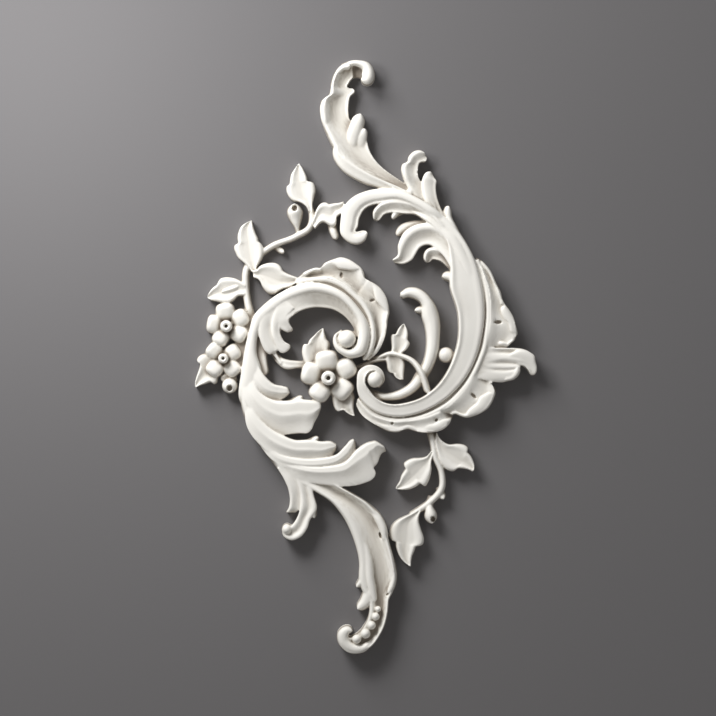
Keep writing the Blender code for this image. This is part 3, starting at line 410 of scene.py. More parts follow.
# %% Fan
blade([(104, 21, 102.6, 9.5, 13), (112, 20, 111, 9.8, 13), (119, 20, 118, 10, 12.8),
       (124, 20, 124, 9.2, 12.8), (129, 19.5, 127, 8.4, 12.8), (133, 18.1, 130, 7.8, 12.6),
       (136.4, 15.4, 132, 6.2, 12.2)], FOLD_ABOVE, 0.82, root=0, fade=12)
blade([(110, 15.4, 110, 11.6, 11.4), (119, 15.4, 119, 11, 12.6), (123, 17.2, 124, 10.6, 13.2),
       (127, 19, 127.4, 8.8, 13.5), (131, 18.6, 130.6, 7.8, 13.5), (134.6, 17, 132.4, 6, 13.3),
       (137.4, 14.6, 133.6, 4.2, 13), (138, 11.4, 134.2, 3, 12.6), (139, 7, 134.8, 2.2, 12.2),
       (138.7, 4, 135.4, 1.8, 11.8), (137.4, 2, 136.2, 1.6, 11)], SLOPE, 0.84, root=0, fade=10)
blade([(102.4, 11, 98.6, 0, 13), (110, 10.4, 110, -2.6, 12.8), (117, 10, 117, -2.8, 12.6),
       (122, 9.6, 121.6, -1.3, 12.6), (125.6, 9.2, 125.4, 1, 12.6), (127.9, 8, 127.8, 3.8, 12.2)],
      FOLD_BELOW, 0.84, root=0, fade=12)
finger([(106, 21.4, 3, 10), (119, 21, 3, 10)], FLAT, root=0)
finger([(110, -1.4, 2, 12.2), (118, -0.8, 3, 12.8), (122.6, 0.6, 4, 13), (125.2, 3.6, 4.6, 13.2),
        (126.2, 7.2, 3.4, 13)], DOME, 0.84)
print("fan:", len(strokes), "strokes so far")

# %% [markdown]
# ## The smaller scroll on the left
# A stalk rises on the left, bends over into the smaller scroll and rolls up inwards round its own ball. Its
# inner side is hollowed like a gutter, which shows as the dark crescent in the photograph, and long
# finger-like leaves turn down inside it. A shell edge like the one on the right runs along its back.

# %% Left scroll
blade([(-56, -22, -40, -14, 10), (-60, -11, -44, 1, 13), (-58, 5, -45, 7, 14), (-55.5, 21, -48, 18, 14),
       (-53, 31, -47, 29, 14), (-49.5, 42, -42, 39, 14.5), (-42, 50, -36, 44, 15),
       (-33.5, 56, -29, 49.5, 15.5), (-22, 61.5, -19.5, 54, 16.5), (-10, 63.6, -9, 56.5, 17),
       (0, 61.9, -1.5, 55.5, 17), (10, 57.1, 6, 52.8, 17), (19.3, 48, 14, 46, 17), (26.3, 37, 19, 37.5, 17),
       (27.4, 26, 19.6, 26.5, 17), (23.5, 15.5, 17.5, 21.5, 17), (15, 13.2, 14, 19, 17),
       (7, 16.7, 9.8, 20.2, 17), (3, 23, 6.3, 24, 16), (3.6, 28.5, 6, 28, 15), (8.5, 32.5, 8.8, 31, 14)],
      DOME, 0.8)
blade([(-33, 46, -27, 39, 14), (-29, 51, -21, 43.6, 14.6), (-19.5, 54.5, -12, 46.8, 15),
       (-8.5, 57, -2.5, 46.8, 15), (6, 53.5, 5.5, 44.6, 15), (14.5, 46.5, 12, 39.8, 15),
       (20, 37, 17, 32.5, 15), (20, 28, 17.5, 27, 14)], HOLLOW, 0.72, root=0, fade=22)
finger([(-30, 47, 12, 9), (-37, 39, 12, 9), (-38.6, 29, 12, 8.6), (-36.5, 21, 9, 8)], FLAT)
blade([(-43, 47, -36, 49, 14.6), (-46.2, 38, -37.2, 40, 14.2), (-46.8, 31, -37.6, 33, 13.6),
       (-45.8, 26, -36.8, 27, 13), (-44.2, 21.4, -34.6, 23, 12.4), (-42, 17.6, -34, 18.4, 11.8),
       (-39.4, 15.6, -36.4, 17, 11.2)], SLOPE, 0.84, root=0, fade=14)
blade([(-30, 53, -23, 46.5, 14.8), (-34.6, 48, -28, 41.6, 14.6), (-37.4, 41, -30.6, 37.5, 14.2),
       (-38.2, 34, -32.4, 32, 13.8), (-37.4, 28, -31.4, 27.4, 13.4), (-35.6, 23.6, -29.4, 24.3, 12.8),
       (-34, 20, -27.2, 23, 12.4), (-32.4, 17.2, -25.7, 22, 12), (-30.4, 16.5, -25.6, 20, 11.6),
       (-28.6, 17.2, -26.6, 18.6, 11.2)], SLOPE, 0.82, root=0, fade=20)
blade([(-33, 44, -25.8, 40.4, 14.2), (-34, 38, -26.4, 37.6, 13.8), (-33.4, 34.6, -25, 34.6, 13),
       (-31.4, 32.4, -23.9, 33, 12.6), (-29, 30.9, -24.4, 31.2, 12), (-27.6, 30.4, -26, 30.6, 11.6)],
      SLOPE, 0.82, root=0, fade=12)
finger([(-31, 43.2, 6, 12), (-25.6, 46.4, 6, 12), (-17, 49.4, 6, 11.5)], FLAT, root=0)
dome(12.5, 24.6, 8.6, 7.4, 6, 10)
dome(12.1, 26, 6.2, 6.2, 12, 19.5)
finger([(-44, 34, 5, 7), (-45, 24, 7, 7.6), (-44.6, 12, 7, 8.6), (-42, 2, 5, 8.6)], FLAT)
finger([(-37, 17.5, 4, 8), (-33, 12, 5, 8), (-28.6, 9.3, 6.6, 8.5), (-21, 9, 5.2, 8), (-12, 9, 5, 9)], FLAT)
finger([(-36.5, 17, 3, 9), (-33.5, 12.5, 2, 9), (-31.4, 9.2, 3, 9)], FLAT, root=0)
print("left scroll:", len(strokes), "strokes so far")

# %% [markdown]
# ## The frill behind the smaller scroll
# This edge is the same shell work as on the right, only narrower: a thin rim beside the groove, a smooth hollow,
# and a wavy outer edge whose lobes roll forward. The rim could be part of the frill's section, but the frill
# widens and narrows and its rim doesn't, so the rim is a stroke of its own.

# %% Left frill
blade([(-19.5, 66, -20, 67, 12), (-14, 66.4, -13.6, 71.2, 13), (-7, 67, -6.6, 72.6, 14),
       (-2, 66.8, -2.4, 75.8, 14.6), (4, 65.6, 6, 79, 14.8), (9.4, 63, 14, 78, 14.8),
       (14, 59.6, 21, 73, 14.8), (18, 56, 24, 66.6, 14.2), (21.6, 52.4, 31, 62, 13.4), (25, 48, 36, 54, 12)],
      SHELF, 0.63, (3, 0.5), root=0, fade=8)
blade([(14, 59.6, 19, 70, 12.6), (18, 56, 24, 66.6, 13.8), (21.6, 52.4, 31, 62, 14.4),
       (25, 48, 37.6, 55, 14.6), (28, 42.6, 39.8, 46, 14.6), (29.6, 37, 39, 38.6, 14.6),
       (30.6, 31, 38.2, 30.4, 14.4), (30, 24, 36.2, 23.6, 14), (27.6, 17.6, 32.6, 17, 13.4),
       (23, 12.4, 27, 12, 12)], SHELF, 0.69, (2, 0.5))
for lip in [
    [(-20, 67.6, -19.4, 66, 11.4), (-16.6, 70.4, -15.4, 68, 12.4), (-12, 72.6, -11.4, 70.4, 12.6),
     (-8, 73.6, -8, 71.6, 12.6), (-5, 73, -5.4, 71.2, 12.4)],
    [(-5.6, 72.6, -4.2, 71.6, 12.2), (-3.4, 76, -1.8, 74.4, 12.4), (0, 78, 1, 76, 12.8),
     (3.4, 79.2, 3.6, 75.4, 13.4), (8, 80.4, 7, 73, 13.8), (13, 79.3, 12, 72.2, 13.8),
     (18, 76.4, 17, 71.6, 13.6), (21.8, 73.4, 20.6, 71.8, 13), (23.8, 70, 22.2, 69.4, 12.4),
     (24.4, 66.4, 22.6, 65.6, 12.2)],
    [(24, 66.6, 24, 64.6, 12.2), (27.4, 64.8, 27.2, 62.8, 12.6), (30.8, 63, 29.6, 59.6, 13.2),
     (34.6, 60, 30.6, 55.6, 13.6), (37.7, 55.6, 31.6, 52, 13.6), (39.5, 51, 34, 48.8, 13.4),
     (40.4, 46.4, 36.6, 45.8, 13), (40.6, 43, 38.8, 43.6, 12.4), (39.6, 39, 37.6, 39, 12.4),
     (39.1, 34, 36.6, 34, 12.6), (38.2, 29, 35.4, 29.4, 12.6), (36.4, 23.8, 33.6, 25, 12.4),
     (33.6, 18.4, 31.4, 20, 12), (30, 14.4, 28.6, 16, 11)],
]:
    blade(lip, LOBE, 0.84, root=5)
finger([(17.4, 58.4, 3, 11.2), (20.6, 61.6, 4, 11.6), (24, 65.4, 3, 12.2)], DOME, 0.84)
finger([(27.6, 49.6, 1.2, 11.2), (30, 49.9, 1.4, 11.6), (31.6, 52, 1, 11.4)], DOME, 0.8)
finger([(-17, 64.8, 3, 13), (-8, 65.7, 3.2, 14), (0, 65.2, 3.4, 14.4), (8.3, 62.1, 3.6, 14.6),
        (16.4, 55.8, 3.6, 14.6), (23.4, 48.4, 3.6, 14.6), (28.4, 39, 3.6, 14.6), (29.8, 31, 3.6, 14.6),
        (29.2, 23, 3.6, 14.4), (26.8, 16.4, 3.2, 13.6), (23, 12, 2.8, 12)], DOME, 0.84, root=0)
finger([(-15.5, 62.6, 5, 12), (0, 62.8, 7, 12), (15, 54, 8, 11.6), (24, 42.5, 8, 11.6), (28.3, 30, 8, 11.6),
        (25, 15, 7, 11)], FLAT, 0.9, root=0)
dome(-18.9, 64.3, 3.5, 2.9, 10, 12.9)
print("left frill:", len(strokes), "strokes so far")

# %% [markdown]
# ## The leaves at the top
# The tallest leaf leans out of the scroll and hooks over at its tip, with blunt teeth on its inner side. Its two
# edges are those of one stroke, so the surface runs out into the hook without a seam, and its rolls and teeth
# lie on it as fingers. Below it curl a thick hooked leaf, a slender finger, a broad fishtail and a small one,
# and three sprouts stand outside.

# %% Top leaf with its hooked tip
blade([(62, 114, 68, 119, 12), (38, 128.6, 48, 131.8, 12.6), (26, 134.4, 36, 140.4, 12.6),
       (14, 141.6, 30, 147.2, 12.6), (7, 148, 27, 153, 12.4), (4, 152, 26, 157, 12.2),
       (2, 155, 25.2, 160.5, 12), (0.3, 158.5, 23.6, 164.5, 12), (-1.5, 162.5, 20.6, 167.5, 12),
       (-3, 166, 17.6, 169.5, 12), (-4.3, 170, 15, 171.5, 12), (-5, 173.5, 13.8, 173.5, 12),
       (-5.5, 177, 13.4, 176.5, 12), (-5.7, 180, 13.2, 179.5, 12), (-5.5, 182.5, 13.4, 182.5, 12),
       (-5, 184.5, 13.7, 185, 12), (-3.5, 186.3, 14.2, 187.3, 12), (-1.5, 187.8, 15.2, 189, 12),
       (0.1, 188.7, 16.8, 190.2, 12), (0.8, 190.5, 17.6, 191.4, 12), (1.1, 192.4, 16.6, 193, 12),
       (1.5, 194.3, 13.4, 193.6, 12), (1.9, 196.5, 12.3, 194.6, 12), (2.6, 199.5, 13.4, 196.8, 12),
       (4.2, 203.5, 14.6, 198.8, 12), (7, 207.3, 15.8, 200, 12), (10.5, 210, 16.4, 200.8, 12),
       (15.4, 210.8, 16.4, 201.4, 12)], DISH, 0.57)
blade([(14, 210, 15, 200.8, 3.6), (18, 210, 20.5, 200.6, 3.6), (24, 206, 24, 199, 3.6)], FLAT, root=0)
finger([(9, 208, 4, 12), (14.5, 209.9, 3.6, 13), (20, 209.8, 4.4, 13.5), (25.3, 207.2, 7, 14),
        (26.6, 202.8, 8.6, 14.5), (25.8, 199.6, 9, 14.5), (24.2, 198.9, 8.4, 14), (21.6, 198.6, 5, 13)],
       DOME, 0.7)
finger([(2.6, 195, 3.2, 11.5), (5.2, 202, 3.8, 12.4), (9.6, 206.8, 4.4, 13), (14.6, 207.8, 5, 13.3)], root=14)
finger([(3.6, 154, 2.4, 11), (1.8, 160, 3.4, 11.6), (-0.4, 167, 5.4, 12.4), (-1.8, 175, 7.2, 12.8),
        (-2, 181, 7.2, 13), (-1.4, 185.2, 5.4, 12.6)], BULGE, 0.7, root=20)
finger([(14, 146, 6, 9.6), (15, 153, 8, 10.8), (16.6, 161, 9.6, 11.8), (18.8, 168, 9.4, 12.4),
        (20.6, 173.6, 8, 12.6), (21.4, 176.2, 5.6, 12.2)], DOME, 0.72, root=26)
finger([(22, 147, 6, 9.4), (21.6, 155, 7, 10.6), (22.2, 161, 7.4, 11.4), (24.6, 166.2, 4.4, 11.4)],
       DOME, 0.8, root=22)
blade([(52, 121.4, 54, 124, 12), (40, 125.6, 43, 129, 12.4), (31, 127.6, 33, 133, 12.8),
       (24, 129.7, 25.4, 136.8, 13), (18, 132.6, 19.4, 140.4, 13), (12, 136.2, 14.6, 143.4, 13),
       (8, 139.6, 11, 146.4, 13), (5, 143.4, 8.6, 148.6, 12.8), (3.2, 147, 7, 151, 12.8),
       (2.6, 150.6, 6.2, 153.2, 12.8), (3, 153.2, 5, 154.2, 12.4)], RISE, 0.72, root=0)
dome(10.4, 146.4, 1.8, 1, 11, 13)
dome(54, 123.2, 3, 3, 9, 12)
print("top leaf:", len(strokes), "strokes so far")

# %% [markdown]
# ## The curled leaves
# Inside the scroll's head the leaves turn over one behind another. Each runs out of the band itself, so its first
# stations lie inside the band and lower than it, and the leaf rises out of it without a step. Joining them with
# bridges would need matching edge loops on every leaf; overlapping strokes that are melted later need none.

# %% Curled leaves inside the scroll's head
blade([(90, 93, 84, 90.5, 15), (74, 110.5, 69, 106, 15.5), (60, 119.6, 57, 113.5, 15),
       (46, 125.5, 44, 118, 14), (37, 126.3, 34, 116.5, 13), (27, 125.2, 28, 115, 12.5),
       (17, 121.2, 23.5, 112, 12.5), (10.5, 114.5, 20.5, 106.5, 12), (8, 105, 19.7, 101.5, 12),
       (9, 94.5, 18, 98, 12), (14, 90.3, 18.8, 97.5, 12), (19.5, 89.2, 20.5, 97.8, 12),
       (24.5, 92, 23, 98.4, 11.5), (26.2, 96.5, 25, 98.2, 11)], OUTER, 0.8, root=30)
blade([(92, 82, 86, 79, 15), (83, 96, 77, 92, 15.5), (68, 110.5, 65, 105, 14.5), (60, 115.2, 58, 109, 14),
       (50, 118.8, 50, 109.7, 13), (40, 118.8, 42, 110.5, 12.5), (33.5, 116, 37, 109.2, 12),
       (29.5, 110.5, 33.8, 105.5, 11), (29.8, 106.4, 31.8, 104.8, 10.5)], NEAR, 0.74, root=30)
finger([(50, 113, 6, 12), (45, 110, 5, 11), (42.4, 106.2, 2.4, 10)])
blade([(100, 58, 91, 54, 15), (94, 76, 84, 68, 16), (82, 96, 75, 83, 15.5), (70, 103, 67, 88.8, 14),
       (58, 102, 61, 87, 13.5), (50, 96.5, 58, 82.5, 13), (46.4, 89, 55.5, 78.7, 12),
       (46, 82, 49.5, 76.2, 11), (42.6, 79, 44, 76.9, 10)], FISH, 0.8, root=0, fade=50)
finger([(70, 102, 4, 9), (57, 102.6, 5, 8.6), (49, 99.3, 6, 8.4), (45.3, 95.3, 3.4, 8.2)])
finger([(97, 48, 8, 15), (92, 63, 9, 16), (84, 76, 9.6, 15), (74, 82.8, 8.4, 13.5), (67.6, 82.7, 7.6, 12),
        (65.4, 77.2, 4.8, 11.5)], FAR, 0.74, root=34)
finger([(95, 44, 8, 14), (92, 57, 12, 16), (85.5, 65.6, 9.6, 15.4), (80, 68, 7, 14), (75.6, 67.6, 5.2, 12.6)],
       DOME, 0.74, root=30)
print("curled leaves:", len(strokes), "strokes so far")

# %% [markdown]
# ## The sprouts
# Three short sprouts stand outside the bend, as if the leaf had split there. The longest is hollowed and bends
# over at its tip, and the other two are rounder. One sprout copied three times would look stamped, so each has
# its own outline and section.

# %% Sprouts outside the scroll's head
blade([(62, 113, 75, 107, 14), (51.3, 129.7, 61.5, 130.8, 11), (49.3, 135, 59.8, 134.5, 12),
       (48.4, 140, 59.5, 138, 12), (49.5, 142.8, 60, 141.5, 12), (52.3, 144.2, 60.5, 143.2, 12),
       (53.2, 147.4, 62, 144.2, 12), (55.5, 150.3, 63.6, 144.1, 11.5), (58.5, 151.8, 65, 144.8, 11.5),
       (61.5, 151.9, 65.8, 146, 11), (63.8, 150.6, 65.5, 147.4, 11)], NEAR, 0.78, root=0, fade=22)
blade([(66, 109, 80, 101, 14.4), (62.3, 131.3, 71.7, 127.5, 11.5), (63, 134, 72, 131.6, 12),
       (64.2, 136.3, 71, 132.9, 11.5), (66, 137.6, 70, 134.6, 11), (68, 137.7, 69.2, 136.6, 11)],
      SLOPE, 0.8, root=0)
blade([(84, 92, 93, 88, 13), (78.5, 106, 85.6, 101, 13.4), (76.8, 111.6, 82.4, 107.6, 13),
       (78, 114.4, 81.9, 111.4, 12.4), (79.8, 115, 81, 113.8, 12)], DOME, 0.8, root=0)
print("sprouts:", len(strokes), "strokes so far")

# %% [markdown]
# ## The acanthus leaf
# The broad leaf on the left opens like a hand: five lobes, each a sharp crest with a hollow under it, all
# springing from one rim. It is the part that shows most carving, so every lobe has its own stroke and the
# little side tips are separate strokes that sink into it at the root.

# %% Acanthus
finger([(-55.8, 2, 6, 12.4), (-55.8, -8, 6.4, 13), (-54.8, -19, 6.6, 13), (-51.5, -29, 7, 13),
        (-45.5, -40, 7, 13), (-37.5, -50.5, 7, 13), (-29.5, -61.5, 7, 12.3), (-23.5, -73, 6, 11),
        (-23, -84, 5, 9.5)])
blade([(-50.5, 17, -55, 12, 12), (-45.4, 6, -54.4, -1, 13.6), (-42.2, 1, -51.6, -7, 14.2),
       (-36.5, -4, -46, -12.5, 14), (-30.5, -5.4, -37, -15, 13), (-27, -6.8, -30, -13.7, 12.4),
       (-26, -9.5, -26.6, -11, 11.6)], LIP, 0.83, fade=26)
blade([(-52, 9, -56, 3, 11.8), (-46, -9, -54, -17, 14.6), (-37, -14.5, -46, -30, 15),
       (-29, -15.2, -34, -37.8, 14.6), (-24, -14.8, -27, -37.6, 14.4), (-20, -14, -19.5, -36.8, 14),
       (-14, -14.6, -13.6, -36.6, 13.6), (-9.6, -14.8, -11, -33.8, 13.2), (-7, -15, -9.4, -30, 13),
       (-5.4, -16.6, -6.8, -25, 12.6), (-4.9, -19, -5.4, -21.4, 12)], LIP, 0.83, fade=34)
finger([(-30, -19, 6, 13), (-22.5, -15.6, 5.4, 13), (-17.4, -12.2, 3.4, 12)], root=12)
finger([(-21, -31, 8, 12), (-15, -32.6, 6.4, 12.8), (-10.6, -33.4, 3.6, 12)], root=14)
blade([(-53.6, -8, -55.6, -12, 11.4), (-49.6, -22, -54.4, -32, 14.2), (-38, -34, -42.4, -47.4, 15),
       (-28.5, -39, -31, -54, 15.2), (-22, -41.3, -22, -56, 15), (-12, -41.2, -12, -56.5, 14.6),
       (-4.5, -42.3, -3.5, -55.3, 14), (1.8, -42.3, 2.2, -51.8, 13.2), (5.2, -44.3, 4.8, -48.3, 12.4)],
      LIP, 0.83, fade=40)
finger([(-20, -46, 5, 13), (-11.5, -42.4, 5, 13.4), (-6.6, -39.4, 3.4, 12.2)], root=14)
blade([(-47, -36, -49.4, -40, 11.8), (-34, -50, -36.4, -55.4, 13.4), (-18, -53.6, -20, -62, 14.2),
       (-5, -53.4, -5, -62.6, 14.4), (5, -51, 6, -60.4, 14.2), (11, -45.4, 15, -54, 13.6),
       (15, -41.2, 18, -46, 12.8), (16.6, -40.6, 18, -42.6, 12.2)], LIP, 0.84, fade=40)
blade([(-44, -42, -44.6, -45, 11.8), (-31, -55, -32, -59.4, 12.6), (-16, -58.5, -19, -67.6, 14.4),
       (0, -58.6, 0, -71.4, 15), (10, -56.4, 9.6, -72.2, 15), (19.5, -47, 24, -70, 14.6),
       (21.6, -45.4, 28.6, -68, 14.4), (23.4, -44.2, 31.4, -64.6, 14.2), (24.6, -43.6, 31.4, -62.4, 14.1),
       (26, -43, 30, -60.4, 14), (28.6, -42.3, 32.6, -57, 13.8), (31.6, -42, 35, -51, 13.2),
       (37, -45.4, 38.6, -48.8, 12)], LONG_LIP, 0.81, fade=36)
print("acanthus:", len(strokes), "strokes so far")

# %% [markdown]
# ## The leaves below
# A small hooked leaf turns to the left, and a long one carries a row of beads down to the lowest curl. Both
# grow out of the foot of the acanthus, so their first stations lie under it.

# %% Hooked leaf, long leaf and its beads
blade([(-34, -60, -25, -57, 12), (-29.4, -68, -20.6, -67, 12.2), (-26.4, -76, -18.5, -77, 12),
       (-25.8, -82, -19, -83, 11.6), (-27, -87.5, -20, -88, 11), (-28.5, -89.6, -22, -89.8, 10)],
      NEAR, 0.87, root=0, fade=20)
blade([(-26, -60, -18, -60, 11.6), (-21.4, -68, -12.4, -70.4, 12), (-18.8, -77, -9.5, -79, 12),
       (-18.8, -86, -7.9, -88, 12), (-20.5, -92, -12.2, -94.6, 11), (-23, -96.5, -14.5, -101, 11),
       (-24.8, -98.3, -18.5, -106, 11), (-26, -98.8, -24.5, -108.3, 11), (-27.5, -99.5, -30.4, -105, 11),
       (-28, -100, -31.2, -101, 11)], CHANNEL, 0.87, root=0, fade=20)
dome(-27.8, -100.8, 3.5, 3.8, 8, 13)
finger([(-14.5, -74, 5, 10.6), (-11.6, -84, 6, 11), (-10.4, -89.5, 5, 11), (-9.4, -93.6, 3.2, 10.4)], root=16)
blade([(-26, -66, -22, -58, 11.8), (-17, -71, -9, -62, 12), (-8, -76.3, 5, -70.8, 12.4),
       (1, -82.3, 15, -76.4, 12.8), (7.5, -89.6, 26.5, -83.6, 13), (13.3, -99.3, 36.4, -95, 13),
       (17.5, -110, 39.6, -106, 13), (20.3, -123, 43.8, -122, 13), (20.3, -134.5, 45.3, -134, 12.5),
       (22.5, -142, 43, -142.8, 12), (26.5, -148, 40.4, -148, 12), (27.3, -153, 40, -153, 12),
       (26.2, -159.5, 39, -159.5, 12), (22.5, -166.5, 35.5, -169.5, 12), (20, -169.3, 28.5, -179.2, 12),
       (17.5, -171.5, 20, -183.7, 12), (15.5, -172.5, 12.8, -183, 12), (13.5, -172.5, 7.2, -177.5, 12),
       (13, -171, 6.2, -171.5, 12)], LONG, 0.62, root=0, fade=34)
finger([(16, -96, 3, 10), (22, -108, 5.4, 11.3), (26, -121, 6.6, 12.6), (27.6, -134, 6, 13),
        (29.6, -143, 5, 12.4), (31, -149, 3.4, 11.6)], DOME, 0.8, root=14)
finger([(19, -80.6, 2.4, 12), (27.6, -86.8, 4, 12.8), (33.8, -94.6, 5.6, 13.6), (36.8, -102, 5.2, 13.8),
        (37.6, -108, 4, 13)], DOME, 0.8, root=20)
finger([(40, -114, 3, 11), (43.2, -126, 4, 12.2), (43.4, -134, 4.6, 12.8), (41.6, -140.4, 4.6, 12.8),
        (39.8, -143.6, 3.6, 12)], root=16)
finger([(24, -122, 6, 11.6), (23, -134, 6, 11.6), (18.6, -139.6, 3.2, 10.6)], root=14)
finger([(27, -126, 8, 11.6), (28, -140, 10, 12), (25, -149, 9, 11.6), (19.3, -154.2, 5.4, 11)], root=20)
finger([(34, -168.5, 3, 12), (29, -175.4, 4, 12.6), (22, -180.4, 6, 12.8), (14.6, -179.5, 7.6, 13.2),
        (10, -175, 8, 13.6), (10, -170.4, 8, 13.8), (12.8, -168, 6.2, 13.6), (16, -168.6, 3.6, 13)],
       DOME, 0.74, root=16)
for x, z, radius in [(33, -154, 2), (31.4, -159, 2.7), (28.6, -164.8, 3), (24.6, -170.3, 3.4),
                     (18.8, -173.8, 3.2)]:
    dome(x, z, radius, radius, 10, 12 + radius * 0.9)
print("lower leaves:", len(strokes), "strokes so far")

# %% [markdown]
# ## Ivy sprays
# Each ivy leaf is a thin cupped plate with a lobe on either side and a faint fold down its middle. Modelled
# as a flat outline with Solidify it would have no cup, and as three lobes it would show seams, so it is one
# stroke whose two edges follow the leaf's own outline from stalk to tip. Stems are round strokes, and the
# buds are drops with a hole sunk in the end.

# %% Ivy at the lower right
finger([(67, -32, 5, 9), (70, -45, 4.4, 8.5), (71, -52, 4.2, 9), (75.5, -63, 4.4, 8.5), (75.5, -74, 4.6, 8.5),
        (69, -82, 4.6, 8), (60, -88.5, 4.4, 8), (54, -92, 4, 8)])
finger([(73.6, -73, 4.4, 8), (75.6, -78.4, 5.4, 8), (77, -81, 4.4, 8)])
finger([(70.3, -33, 4.4, 6), (70.2, -44, 3.6, 6), (71.4, -52, 2.4, 6)], FLAT)
finger([(69, -79, 5, 8), (67.4, -86, 5.6, 9), (68.2, -91.6, 8.8, 10.8), (69, -97.2, 7, 9.4)], DOME, 0.5)
leaf([(72.4, -36.3, 71.6, -37.5), (73.8, -39.5, 71.6, -41.5), (76.9, -42.6, 72, -46.2),
      (80.5, -44.3, 72.9, -50.8), (85.1, -44, 74.2, -55.3), (88.9, -44.2, 76.5, -58.9),
      (92, -45.4, 79, -61.3), (93.3, -47.2, 82, -62.3), (92.8, -49, 84.3, -62), (93.6, -50.2, 86, -60.6),
      (95.3, -52.4, 88.5, -60.5), (96.8, -55.6, 91.5, -60.8), (97.5, -58.5, 94.5, -61.7),
      (97.1, -61.6, 96.1, -62.6)], 9)
leaf([(70, -50, 68.5, -49), (68.6, -56, 65.3, -52.4), (68.8, -60.7, 61.7, -53.3), (67.9, -66.1, 56.3, -53.6),
      (66.2, -70.2, 52.6, -55.1), (64.4, -72.4, 50.3, -57.2), (63, -71.7, 50.5, -59),
      (61.3, -70.6, 51.4, -60.2), (59.5, -72, 50.2, -62.5), (55.5, -74, 48.6, -65.2), (51, -74.7, 47.4, -69),
      (47.5, -74.5, 45.4, -72.3), (45, -74.2, 44.8, -73.7)], 9)
leaf([(59.5, -88.3, 61.5, -89), (55.3, -90.5, 60.5, -92), (50.8, -92.3, 60.3, -95), (46.3, -94.5, 61, -98.3),
      (43.1, -97.2, 62.1, -101.7), (41.3, -100.4, 63.3, -105), (40.7, -103.5, 63.8, -108),
      (41, -106.5, 63, -111.2), (42.2, -108.6, 60.6, -112.3), (44.2, -109.2, 58.8, -112.4),
      (45, -113, 57.5, -115.4), (46.7, -118, 55.9, -119.2), (49.6, -122.2, 55.2, -122.8),
      (54.6, -126, 55, -125.9)], 9)
print("lower ivy:", len(strokes), "strokes so far")

# %% [markdown]
# ## The second ivy spray
# A longer stem climbs on the left and bends over to meet the hook of the scroll. It's drawn like the first: stems
# and buds as round strokes, leaves from their two outlines.

# %% Ivy at the upper left
finger([(-51, 38, 6, 10), (-54, 50, 5, 9), (-55.5, 62, 5, 8.5), (-55, 72, 5, 8.5), (-51, 80, 5, 8)])
finger([(-53, 72, 4, 8), (-45, 83, 4.2, 8), (-38, 88, 4.2, 8), (-22, 94.5, 4.2, 8), (-12.5, 101, 4.4, 8),
        (-11.5, 111, 4.2, 8), (-15, 118, 4, 8)])
finger([(-36, 88, 3.5, 7.5), (-31, 84.6, 3.8, 7), (-29.6, 83.8, 3, 7)])
finger([(-20, 95, 3.4, 7.5), (-21, 101, 4, 8), (-22, 106, 8.6, 9.5), (-22.5, 110.5, 10.8, 11.5),
        (-22.6, 116.4, 8, 10)], DOME, 0.5)
leaf([(-13.1, 110.8, -10.7, 110.8), (-15.3, 114.7, -10.7, 116.3), (-19.7, 117.4, -10, 119.5),
      (-24.1, 118.5, -9.4, 122), (-26.8, 121.3, -8.7, 125.2), (-28.2, 125.2, -9, 128),
      (-27.9, 127.9, -9.9, 130), (-26.2, 129.4, -11.8, 131), (-25.9, 131, -13.7, 131.2),
      (-25.3, 135, -14.4, 134), (-23.5, 138.4, -16.9, 139.5), (-20.2, 143, -19.4, 143)], 9)
leaf([(-11, 104, -9.2, 99.4), (-9.4, 108, -7, 102), (-8.1, 112.5, -4.8, 103.7), (-5.9, 115.8, -2.6, 103.7),
      (-3.2, 117.2, 0.1, 102), (-1, 116.9, 3, 100.8), (0.1, 116.1, 4.8, 102), (1.5, 116.3, 5.3, 104.5),
      (3.4, 116.6, 5.4, 107), (6.7, 116.9, 8, 109.4), (9, 117.5, 9.5, 112), (10.2, 117.8, 10.5, 116)], 10)
finger([(1, 106, 5, 8.5), (3, 98.5, 5.4, 8.5), (5.2, 92.6, 4.6, 8)])
leaf([(-51.5, 71, -48.5, 71), (-53.7, 74.4, -47.7, 74), (-57, 77.2, -46, 76.8), (-60.3, 80, -44.5, 79.5),
      (-62, 83.3, -43.4, 83), (-63.1, 86.6, -43.6, 87), (-62.5, 88.8, -45, 89.8), (-60.6, 89.8, -46.6, 91),
      (-60.9, 93.2, -47.1, 93.2), (-60.1, 97.6, -48.8, 96.8), (-58.1, 101.4, -50.2, 101),
      (-54.8, 103.7, -50.8, 103.3), (-51.3, 105.2, -51, 105)], 9.5)
leaf([(-50.5, 71.5, -50, 67), (-47.7, 72.2, -47.1, 65.8), (-46, 74.4, -45.5, 64), (-42.7, 76.1, -44.4, 61.2),
      (-38.4, 76.9, -42.7, 58.5), (-34.5, 76.4, -40, 56.2), (-31.8, 74.4, -36.2, 55.9),
      (-30.2, 71.5, -33.2, 57.6), (-27.4, 69.8, -31, 59), (-24.1, 68.4, -26.5, 60.4),
      (-21.5, 67.4, -22.5, 62.6), (-19.7, 66.2, -19.7, 65.6)], 12)
leaf([(-55.5, 62, -56, 55), (-57.5, 63.8, -58.5, 55), (-60.5, 65.7, -61, 54.2), (-64.5, 67, -63.5, 51.6),
      (-68, 67.3, -66, 50), (-71.9, 66.5, -69.5, 49.8), (-73.6, 64.5, -72.5, 50.4), (-74.6, 62.4, -74.6, 51),
      (-76.8, 60.7, -76.5, 51.3), (-79.4, 57.6, -78.5, 51.8), (-81, 54.2, -80.6, 53.2)], 9.5)
finger([(-55, 64, 4, 9.5), (-62, 60.5, 4, 10), (-71, 57.5, 3, 9.5)])
finger([(-60, 57, 3, 8), (-55.5, 54, 3.4, 9), (-53, 45, 3.4, 9)])
print("upper ivy:", len(strokes), "strokes so far")

